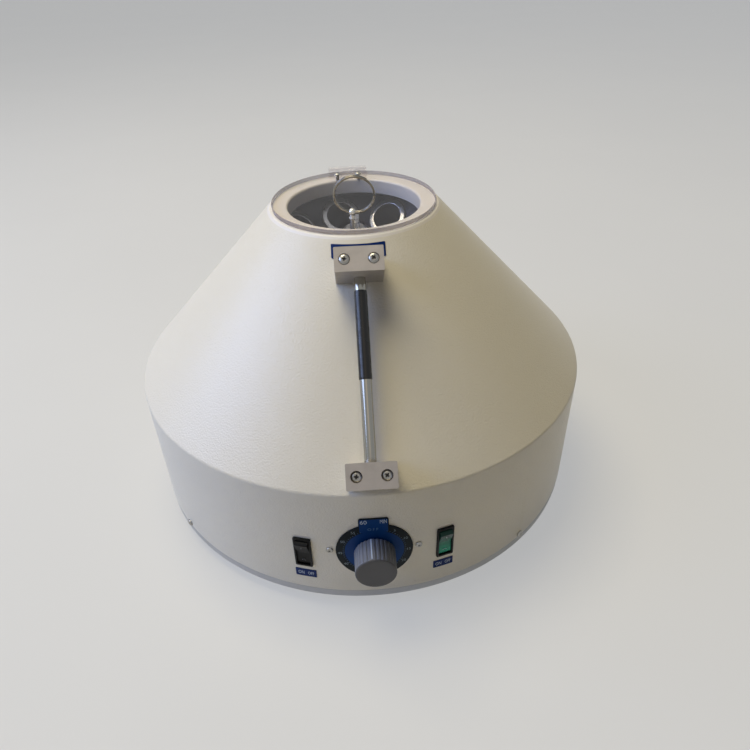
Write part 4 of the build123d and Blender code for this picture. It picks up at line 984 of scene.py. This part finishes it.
def dial_outline(radius, tab_half, tab_top, corner):
    """Disc with a tab on top, as one outline."""
    meet = math.degrees(math.acos(tab_half / radius))
    points = [polar(radius, 180 - meet + k * (180 + 2 * meet) / 120) for k in range(121)]
    corners = [points[-1], (tab_half, tab_top, corner), (-tab_half, tab_top, corner), points[0]]
    return points + outline(corners, 6, closed=False)[1:-1]


def dial():
    place = move(0, 0, DIAL_Z)
    bush = rod(4.8, -1, 2, 40)
    print_low, print_top = 0.93, 1.0
    plate = cut(prism(dial_outline(DIAL_R, 11.25, 35.7, 2.0), 0.0, DIAL_THICK), bush)
    plate = curved(sliced(bevelled(plate, 0.15, 2, 50)), DIAL_FACE_R)
    piece("dial_plate_ring", put(plate, place), dial_navy, "housing", "dial_plate")

    disc = cut(prism([polar(22.6, 3 * k) for k in range(120)], print_low, print_top), bush)
    half, low, high = 10.6, 21.0, 35.0
    corners = [(-half, low), (half, low), (half, high, 1.5), (-half, high, 1.5)]
    tab = prism(outline(corners), print_low, print_top)
    blue = together(*[curved(sliced(shape), DIAL_FACE_R) for shape in (disc, tab)])
    piece("dial_print_blue", put(blue, place), dial_blue, "housing")

    marks, ticks, words = [], [], []
    for k in range(1, 12):
        angle = 90 - 7.2 - DIAL_STEP * k
        marks.append(put(lettering(str(5 * k), 2.5), move(*polar(26.3, angle), DIAL_THICK)))
        for j in range(-2, 3):
            t = angle + DIAL_STEP * j / 5
            tick = block(0.25, 1.5 if j == 0 else 0.9, 0.08)
            ticks.append(put(tick, move(*polar(23.6, t), 0.98) @ turn(t - 90, "Z")))
    ticks.append(put(lettering("OFF", 2.7, spacing=1.4), move(-0.6, 24.6, print_top)))
    for x, word in ((-7.4, "60"), (7.2, "MIN")):
        words.append(put(lettering(word, 3.9, wide=5.0), move(x, 32.4, print_top)))
    prints = (
        ("dial_marks", marks, print_dim),
        ("dial_words", words, print_white),
        ("dial_fine_marks", ticks, print_faint),
    )
    for name, shapes, material in prints:
        shape = put(curved(together(*shapes), DIAL_FACE_R), place)
        piece(name, shape, material, "housing")

    places = [outward(s * TIMER_AZ, BODY_R, DIAL_Z) @ turn(35 * s, "Z") for s in SIDES]
    # Painted shade in the dial screws' cross recesses.
    shade_marks = at_each(slot_shade(*DIAL_SCREW[1:]), places)
    piece("dial_screw_slots", shade_marks, slot_dark, "housing")
    screws = at_each(pan_screw(*DIAL_SCREW, 6.1), places)
    piece("dial_screws", screws, zinc, "housing", "timer_screws")


def knob():
    """Fluted knob with a plain rounded end, a hollow back and a pointer line on top."""
    back = DIAL_FACE_R + 2.0
    long, r0, r1, flutes, deep, corner = 20.0, 15.7, 15.5, 30, 0.6, 1.0
    around = flutes * 14
    step = 360.0 / around

    def side(t, fluted):
        """Row of points at a share t of the length, with flutes of a share of the full depth."""
        row = []
        for k in range(around):
            phase = (k * step * flutes / 360) % 1.0
            off = abs(2 * phase - 1)
            groove = max(0.0, 1 - off**2 * 3.2) ** 0.5 if off < 0.56 else 0.0
            plain = abs((k * step - 90 + 180) % 360 - 180) < 5
            r = r0 + (r1 - r0) * t - (0 if plain else deep * fluted * groove)
            row.append((*polar(r, k * step), t * long))
        return row

    def circle(r, z):
        return [(*polar(r, k * step), z) for k in range(around)]

    rows = [[(x * 0.99, y * 0.99, 0.0) for x, y, _ in side(0.0, 1.0)]]
    rows += [side(t, 1.0) for t in (0.02, 0.2, 0.4, 0.6, 0.8, 0.9)]
    rows += [side(0.9 + 0.045 * k / 4, 1.0 - (k / 4) ** 2) for k in range(1, 5)]
    for a in range(0, 91, 15):
        x, z = polar(corner, a)
        rows.append(circle(r1 - corner + x, long - corner + z))
    rows += [circle(r, long - down) for r, down in ((12.5, 0.05), (8.0, 0.12), (3.0, 0.15))]
    points = [p for row in rows for p in row] + [(0, 0, long - 0.15)]
    faces = stitched(len(rows), around)
    last = (len(rows) - 1) * around
    faces += [[last + k, last + (k + 1) % around, len(points) - 1] for k in range(around)]
    faces.append(list(range(around))[::-1])
    body = cut((np.array(points, float), faces), rod(12.0, -1, 1.5, 96), rod(3.05, -1, 7.7, 40))
    place = outward(0, back, DIAL_Z) @ turn(9.0, "Z")
    greys = [knob_grey, knob_face]
    obj = piece("knob_body", put(body, place), greys, "knob", "timer_knob", smooth=40)
    limit = -(back + long - 1.05) * MM
    second_material(obj, lambda at: at.y < limit)
    rib = bevelled(put(block(1.0, 0.7, 17.8), move(0, 15.65, 9.2) @ turn(0.6, "X")), 0.12)
    piece("knob_pointer", put(rib, place), print_white, "knob")


# Switches and labels


def switch(name, azimuth, height, rocker_material):
    half, tilt, depth = 13.4, 9.0, 3.6
    place = outward(azimuth, BODY_R, height)
    bezel = bevelled(prism(oblong(-7, -15.75, 7, 15.75, 1.2), -1.0, 1.8), 0.55, 3, 60)
    body = cut(put(bezel, place), envelope())
    case = put(put(block(12.0, 28.2, 23.0), move(0, 0, -11.5)), place)
    body = joined(body, bevelled(case, 0.4))
    window = put(put(block(10.8, 27.6, 14.0, 0.6), move(0, 0, -2.0)), place)
    pivot = put(put(rod(1.55, -9, 9, 32), turn(90, "Y")), place @ move(0, 0, -depth))
    body = cut(body, window, pivot)
    blade = bevelled(block(6.0, 0.8, 8.0), 0.15)
    body = joined(body, *[put(blade, place @ move(0, 8.0 * k, -26.5)) for k in (-1, 0, 1)])
    body = bevelled(body, 0.18, 2, 50)
    piece(name + "_case", body, switch_black, "housing", name + "_switch_body")

    face = depth + 0.6
    profile = [(-half, -1.4), (half, -1.4)]
    for k in range(25):
        y = half - 2 * half * k / 24
        rise = half * math.tan(math.radians(tilt)) * (abs(y) / half)
        profile.append((y, face + rise + 0.12 * math.exp(-((y / 1.6) ** 2))))
    bar = put(prism(profile, -5.1, 5.1), axes((0, 1, 0), (0, 0, 1), (1, 0, 0), (0, 0, 0)))
    ends = put(rod(half, -6, 6, 160), turn(90, "Y"))
    axle = put(rod(1.5, -5.9, 5.9, 32, 0.2), turn(90, "Y"))
    bar = joined(bevelled(kept(bar, ends), 0.35, 3, 40), axle)
    tilted = place @ move(0, 0, -depth) @ turn(tilt, "X")
    body_name, slot = name + "_rocker_body", "rocker_" + name
    piece(name + "_paddle", put(bar, tilted), rocker_material, body_name, name + "_rocker")
    mark_up = face + 1.42
    lower = put(lettering("O", 3.0, 0.12), tilted @ move(0, -8.6, mark_up) @ turn(tilt, "X"))
    upper = put(block(0.55, 2.8, 0.12), tilted @ move(0, 8.6, mark_up) @ turn(-tilt, "X"))
    ink = print_white if name == "green" else mark_grey
    piece(name + "_marks", together(lower, upper), ink, body_name)


def cone_label():
    """Blank blue plate stuck on the cone between the front handle and the lid."""
    plate = prism(oblong(-20.0, 172.8, 21.0, 184.0, 0.8, 3), 0.05, 0.4)
    piece("cone_label", wrapped_on_cone(sliced(plate)), label_blue, "housing")


def label(name, azimuth, low, high, azimuth_half):
    """Thin plate on the skirt under a switch, with its two words."""
    wide, tall = math.radians(azimuth_half) * BODY_R, (high - low) / 2
    plate = prism(oblong(-wide, -tall, wide, tall, 0.5, 3), 0.05, 0.4)
    place = spin(azimuth) @ move(0, 0, (low + high) / 2)
    piece(name, put(curved(sliced(plate), BODY_R), place), label_blue, "housing")
    words = ((-4.0, "ON"), (4.0, "OFF"))
    marks = together(*[put(lettering(word, 3.6, wide=4.9), move(x, 0, 0.38)) for x, word in words])
    piece(name + "_print", put(curved(marks, BODY_R), place), print_white, "housing")


# Rotor


def sleeve_place(azimuth):
    across, up = (0, -SLOPE_SIN, SLOPE_COS), (0, SLOPE_COS, SLOPE_SIN)
    return spin(azimuth) @ axes((-1, 0, 0), across, up, (0, -SLEEVE_R, SLEEVE_Z))


def dish_point(out, depth=0.0):
    """Radius and height of a point of the bowl's slanted wall."""
    r = SLEEVE_R + out * SLOPE_SIN + depth * SLOPE_COS
    return r, SLEEVE_Z + out * SLOPE_COS - depth * SLOPE_SIN


INNER_OUT = (FLAT_R - SLEEVE_R) / SLOPE_SIN
FLAT_Z = dish_point(INNER_OUT)[1]
BOLT_AZIMUTHS = [PHASE + 22.5 + 90 * k for k in range(4)]
BOWL_BOLT_R, DISC_BOLT_R = 18.9, 24.0
DISC_Z = 113.0
WEB_TOP = DISC_Z + ROTOR_PLATE


def bowl():
    hub_r, under, rise = 12.55, FLAT_Z - ROTOR_PLATE, (73.0 - SLEEVE_R) / SLOPE_SIN
    bead_r, bead_z = dish_point(rise, 1.5)
    bead = [(bead_r + r, bead_z + z) for r, z in (polar(2, a) for a in range(-110, 146, 15))]
    corners = [
        (hub_r, under), (FLAT_R + ROTOR_PLATE * HALF_TURN, under, 9.0),
        dish_point(rise - 1.2, ROTOR_PLATE), *bead, dish_point(rise - 1.2), (*dish_point(INNER_OUT), 6.0),
        (hub_r, FLAT_Z, 0.3),
    ]
    tools = holes(SLEEVE_HOLE, 12, [sleeve_place(a) for a in SLEEVES], 72)
    tools += holes(ROTOR_BOLT_HOLE, 8, [spin(a) @ move(0, -BOWL_BOLT_R, FLAT_Z) for a in BOLT_AZIMUTHS])
    shape = bevelled(cut(lathe(corners, 256, 6), *tools), 0.25, 2, 40)
    piece("bowl", shape, rotor_metal, "rotor", "rotor_bowl")


def sleeves():
    low, high = dish_point(INNER_OUT, -0.05), dish_point(WALL_REACH, -0.05)
    under = lathe([(low[0], 100.0), (high[0], 100.0), high, low], 360)
    top, lip_in, lip_out, seat_r, seat = 3.2, 13.7, 17.5, 12.4, -SLEEVE_DEEP - CUSHION_THICK
    corners = [
        (CUSHION_BORE, -SLEEVE_LONG, 0.3), (SLEEVE_OUTER, -SLEEVE_LONG, 2.5),
        (SLEEVE_OUTER, top, 0.3), (SLEEVE_BORE, top, 0.4), (SLEEVE_BORE, -SLEEVE_DEEP),
        (seat_r, -SLEEVE_DEEP), (seat_r, seat), (CUSHION_BORE, seat),
    ]
    tube = lathe(corners, 96, 5)
    lip = lathe([(lip_in, 0.0), (lip_out, 0.0), (lip_out, top, 0.9), (lip_in, top, 0.3)], 96, 5)
    lip = put(cut(put(lip, sleeve_place(0)), under), sleeve_place(0).inverted())
    sleeve = joined(tube, lip)
    metals = [sleeve_metal, sleeve_dark]
    for number, azimuth in enumerate(SLEEVES, start=1):
        name, node = "sleeve_%d" % number, "tube_sleeve_%d" % number
        obj = piece(name, put(sleeve, sleeve_place(azimuth)), metals, "rotor", node)
        inward = sleeve_place(azimuth).inverted()

        # The bore's faces take the darker metal, painted shade.
        def in_bore(at, inward=inward):
            centre = inward @ (at / MM)
            return math.hypot(centre.x, centre.y) < 13.2 and centre.z < 1.5

        second_material(obj, in_bore)
    cushion = ring(CUSHION_BORE, seat_r - 0.05, seat, -SLEEVE_DEEP, 64, 0.3)
    cushions = at_each(cushion, [sleeve_place(a) for a in SLEEVES])
    piece("cushions", cushions, rubber, "rotor", "sleeve_cushions")


def lower_disc():
    centre_r = SLEEVE_R + LOWER_CUT * SLOPE_COS
    centre_z = SLEEVE_Z - LOWER_CUT * SLOPE_SIN
    inner_r = centre_r - (centre_z - WEB_TOP) * math.tan(SLOPE)
    tip = (centre_r + WALL_REACH * SLOPE_SIN, centre_z + WALL_REACH * SLOPE_COS)
    corners = [
        (15.05, DISC_Z), (inner_r + ROTOR_PLATE * HALF_TURN, DISC_Z, 8.0),
        (tip[0] + ROTOR_PLATE * SLOPE_COS, tip[1] - ROTOR_PLATE * SLOPE_SIN, 0.6), (*tip, 0.6),
        (inner_r, WEB_TOP, 5.0), (15.05, WEB_TOP),
    ]
    tools = holes(SLEEVE_HOLE, 14, [sleeve_place(a) @ move(0, 0, -LOWER_CUT) for a in SLEEVES], 72)
    tools += holes(14.0, 8, [spin(a + 22.5) @ move(0, -74.0, WEB_TOP) for a in SLEEVES], 64)
    tools += holes(ROTOR_BOLT_HOLE, 8, [spin(a) @ move(0, -DISC_BOLT_R, WEB_TOP) for a in BOLT_AZIMUTHS])
    disc = bevelled(cut(lathe(corners, 256, 6), *tools), 0.25, 2, 40)
    piece("lower_disc", disc, rotor_metal, "rotor", "rotor_lower_disc")


def rotor():
    bowl()
    sleeves()
    lower_disc()
    nose_top = FLAT_Z + 36.0
    seat_z = FLAT_Z - ROTOR_PLATE
    corners = [
        (6.05, DISC_Z - 6.0), (32.0, DISC_Z - 6.0, 1.0), (32.0, DISC_Z, 0.5), (15.0, DISC_Z),
        (15.0, seat_z - 9.0, 4.0), (25.0, seat_z - 5.0, 0.5), (25.0, seat_z), (12.5, seat_z),
        (12.5, nose_top, 1.5), (6.05, nose_top),
    ]
    piece("hub", lathe(corners, 128, 6), rotor_metal, "rotor", "rotor_hub")

    head = bevelled(hexagon(7.0, 0, 2.8), 0.3)
    bolts = []
    for azimuth in BOLT_AZIMUTHS:
        for radius, z, long in ((DISC_BOLT_R, WEB_TOP, 8.0), (BOWL_BOLT_R, FLAT_Z, 7.5)):
            bolt = together(head, rod(2.0, -long, 0.02, 32))
            bolts.append(put(bolt, spin(azimuth) @ move(0, -radius, z)))
    piece("bolts", together(*bolts), zinc, "rotor", "rotor_bolts")

    crown = lathe([(0, 0), (10.1, 0), (10.1, 5.8, 1.0), (7.3, 8.0, 0.6), (0, 8.0)], 96)
    nut = joined(kept(hexagon(19.0, 0, 8.0, 0.4), crown), ring(4.2, 11.0, 0.0, 1.0, 96, 0.2))
    nut = bevelled(cut(nut, rod(4.05, -1, 10, 40)), 0.2, 2, 40)
    piece("nut", put(nut, move(0, 0, nose_top + 0.05)), stainless, "rotor", "rotor_nut")

    top = nose_top + 13.0
    threads = []
    z = nose_top + 8.2
    while z < top - 1.6:
        threads += [(3.75, z), (4.0, z + 0.35)]
        z += 0.7
    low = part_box("motor_shaft")[0].z / MM
    corners = [
        (0, low), (6.0, low, 0.4), (6.0, nose_top - 1.0, 0.3), (4.0, nose_top - 1.0),
        (4.0, nose_top + 8.0), *threads, (3.6, top, 0.8), (0, top),
    ]
    piece("shaft", lathe(corners, 64, 3), stainless, "rotor", "motor_shaft")


# Mains inlet and fuse holder


def rear():
    place = outward(INLET_AZ, BODY_R, INLET_Z)
    flange = bevelled(prism(oblong(-13.5, -25, 13.5, 25, 5, 8), -2.0, 3.0), 0.5, 3, 60)
    body = cut(put(flange, place), envelope())
    body = joined(body, put(block(20.0, 27.6, 19.5), place @ move(0, 0, -9.75)))
    well = [(-8.2, -8.0), (-4.2, -12.0), (8.2, -12.0), (8.2, 12.0), (-4.2, 12.0), (-8.2, 8.0)]
    pins = ((2.0, -7.0), (-2.0, 0.0), (2.0, 7.0))
    tools = [put(prism(well, -17.0, 8.0), place)]
    tools += [put(block(4.1, 2.1, 10.0), place @ move(x, y, -17.0)) for x, y in pins]
    tools += holes(FINE_HOLE, 10, [place @ move(0, s * INLET_SCREW_UP, 0) for s in SIDES])
    body = bevelled(cut(body, *tools), 0.25, 2, 50)
    piece("inlet", body, switch_black, "housing", "mains_inlet")
    blade = bevelled(put(block(4.0, 2.0, 23.5), move(0, 0, -15.75)), 0.4)
    blades = at_each(blade, [place @ move(x, y, 0) for x, y in pins])
    piece("contacts", blades, brass_pin, "housing", "inlet_pins")
    places = [place @ move(0, s * INLET_SCREW_UP, 3.0) @ turn(15 * s, "Z") for s in SIDES]
    screws = at_each(pan_screw(*FINE_SCREW, 9.0), places)
    piece("inlet_fixings", screws, zinc, "housing", "inlet_screws")

    corners = [
        (0, -34.0), (5.0, -34.0, 0.4), (5.0, -12.0), (6.2, -12.0), (6.2, 0.15), (8.5, 0.15, 0.1),
        (8.5, 2.0, 0.7), (6.8, 2.0), (6.8, 11.0, 1.0), (0, 11.0),
    ]
    grips = [put(rod(0.9, 2.6, 9.4, 16), spin(30 * k) @ move(7.3, 0, 0)) for k in range(12)]
    fuse = cut(lathe(corners, 96, 4), put(block(1.4, 9.0, 2.4), move(0, 0, 11.0)), *grips)
    place = outward(FUSE_AZ, BODY_R, INLET_Z)
    wall = kept(put(ring(6.21, 12.0, -4.0, 0.9, 96), place), envelope())
    fuse = bevelled(cut(put(fuse, place), wall), 0.15, 2, 40)
    piece("fuse", fuse, switch_black, "housing", "fuse_holder")


# Build everything

housing()
base()
for name, (azimuth, upper) in HANDLES.items():
    handle(name, azimuth, upper)
lid()
ring_post()
pull_ring()
dial()
knob()
for name, material in (("black", switch_black), ("green", rocker_green)):
    switch(name, *SWITCHES[name], material)
label("black_label", -15.85, 34.3, 42.9, 2.45)
label("green_label", 15.7, 36.5, 44.6, 2.4)
cone_label()
rotor()
rear()

CAD_MATERIALS = {
    "foot_screws": zinc,
    "chamber_floor": galvanised,
    "floor_posts": zinc,
    "timer_body": switch_black,
    "timer_spindle": stainless,
    "motor_housing": motor_paint,
    "motor_mounts": rubber,
    "motor_bearings": stainless,
    "shaft_seal": rubber,
}
for node, material in CAD_MATERIALS.items():
    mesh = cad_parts[node].data
    mesh.materials.clear()
    mesh.materials.append(material)


# Camera, floor and light

CAM_AT = (-7.69 * MM, -518.08 * MM, 462.61 * MM)
HEADING, DOWN, ROLL = math.radians(2.254), math.radians(35.813), math.radians(-1.947)
flat = math.cos(DOWN)
forward = Vector((math.sin(HEADING) * flat, math.cos(HEADING) * flat, -math.sin(DOWN)))
right = Vector((math.cos(HEADING), -math.sin(HEADING), 0))
up = right.cross(forward)
cam_x = right * math.cos(ROLL) + up * math.sin(ROLL)
cam_y = -right * math.sin(ROLL) + up * math.cos(ROLL)
camera_data = bpy.data.cameras.new("camera")
camera_data.lens = 30.88
camera_data.sensor_width = 36.0
camera = bpy.data.objects.new("camera", camera_data)
bpy.context.scene.collection.objects.link(camera)
camera.matrix_world = axes(cam_x, cam_y, -forward, CAM_AT)
bpy.context.scene.camera = camera


def seen_rays(tree):
    """One for rays that are seen straight, in a gloss or through glass, nought for light on the object."""
    path = new_node(tree, "LightPath")
    seen = maths(tree, "MAXIMUM", (path, "Is Camera Ray"), (path, "Is Glossy Ray"))
    return maths(tree, "MAXIMUM", (seen, "Value"), (path, "Is Transmission Ray"))


def floor():
    """Pale floor that curves up into a wall far behind, in metres."""
    half, near, depth, tall, bend = 6.0, -6.0, 5.0, 5.0, 1.5
    profile = [(near, 0.0), (depth - bend, 0.0)]
    for k in range(1, 25):
        a = math.pi / 2 * k / 24
        profile.append((depth - bend + bend * math.sin(a), bend - bend * math.cos(a)))
    profile.append((depth, tall))
    points = [(x, y, z) for y, z in profile for x in (-half, half)]
    faces = [[2 * k, 2 * k + 1, 2 * k + 3, 2 * k + 2] for k in range(len(profile) - 1)]
    mesh = bpy.data.meshes.new("studio_floor")
    mesh.from_pydata(points, [], faces)
    mesh.shade_smooth()
    material, tree, shader, coords = new_material("studio_floor")
    shader.inputs["Roughness"].default_value = 0.7
    tone = noise_range(tree, coords, 3.0, 0.0, 1.0, 0.3, 0.7)
    colours = mixed(tree, (tone, "Result"), srgb(214, 211, 203), srgb(220, 217, 209))
    link(tree, colours, 2, shader, "Base Color")
    share = ranged(tree, seen_rays(tree), "Value", 0.0, 0.64)
    even = new_node(tree, "Emission", Color=(0.66, 0.67, 0.68, 1.0))
    blend = blended(tree, (share, "Result"), shader, even)
    link(tree, blend, 0, tree.nodes["Material Output"], "Surface")
    mesh.materials.append(material)
    obj = bpy.data.objects.new("studio_floor", mesh)
    bpy.context.scene.collection.objects.link(obj)


floor()


def area_light(name, at, aim_up, size, power, colour):
    """Square lamp, aimed at a height on the body's axis."""
    data = bpy.data.lights.new(name, "AREA")
    data.shape = "RECTANGLE"
    data.size = size
    data.size_y = size
    data.energy = power
    data.color = colour
    obj = bpy.data.objects.new(name, data)
    obj.location = at
    direction = Vector((0, 0, aim_up)) - Vector(at)
    obj.rotation_mode = "QUATERNION"
    obj.rotation_quaternion = direction.to_track_quat("-Z", "Y")
    bpy.context.scene.collection.objects.link(obj)


COOL = (0.43, 0.57, 1.0)
area_light("window", (-1.9, 0.1, 1.1), 0.15, 1.1, 16.5, COOL)
area_light("window_near", (-1.67, -0.66, 1.35), 0.15, 1.1, 13.0, COOL)
area_light("top", (-0.5, 0.3, 2.2), 0.2, 1.2, 41.0, (0.97, 0.86, 0.61))
area_light("front", (0.2, -1.7, 1.9), 0.12, 1.2, 1.5, (1.0, 0.75, 0.5))

world = bpy.data.worlds.new("world")
bpy.context.scene.world = world
world.use_nodes = True
world_tree = world.node_tree
background = world_tree.nodes["Background"]
DIM, PALE = (0.027, 0.026, 0.025, 1.0), (0.48, 0.49, 0.50, 1.0)
link(world_tree, mixed(world_tree, (seen_rays(world_tree), "Value"), DIM, PALE), 2, background, "Color")
background.inputs["Strength"].default_value = 1.0

bpy.context.scene.view_settings.view_transform = "Standard"
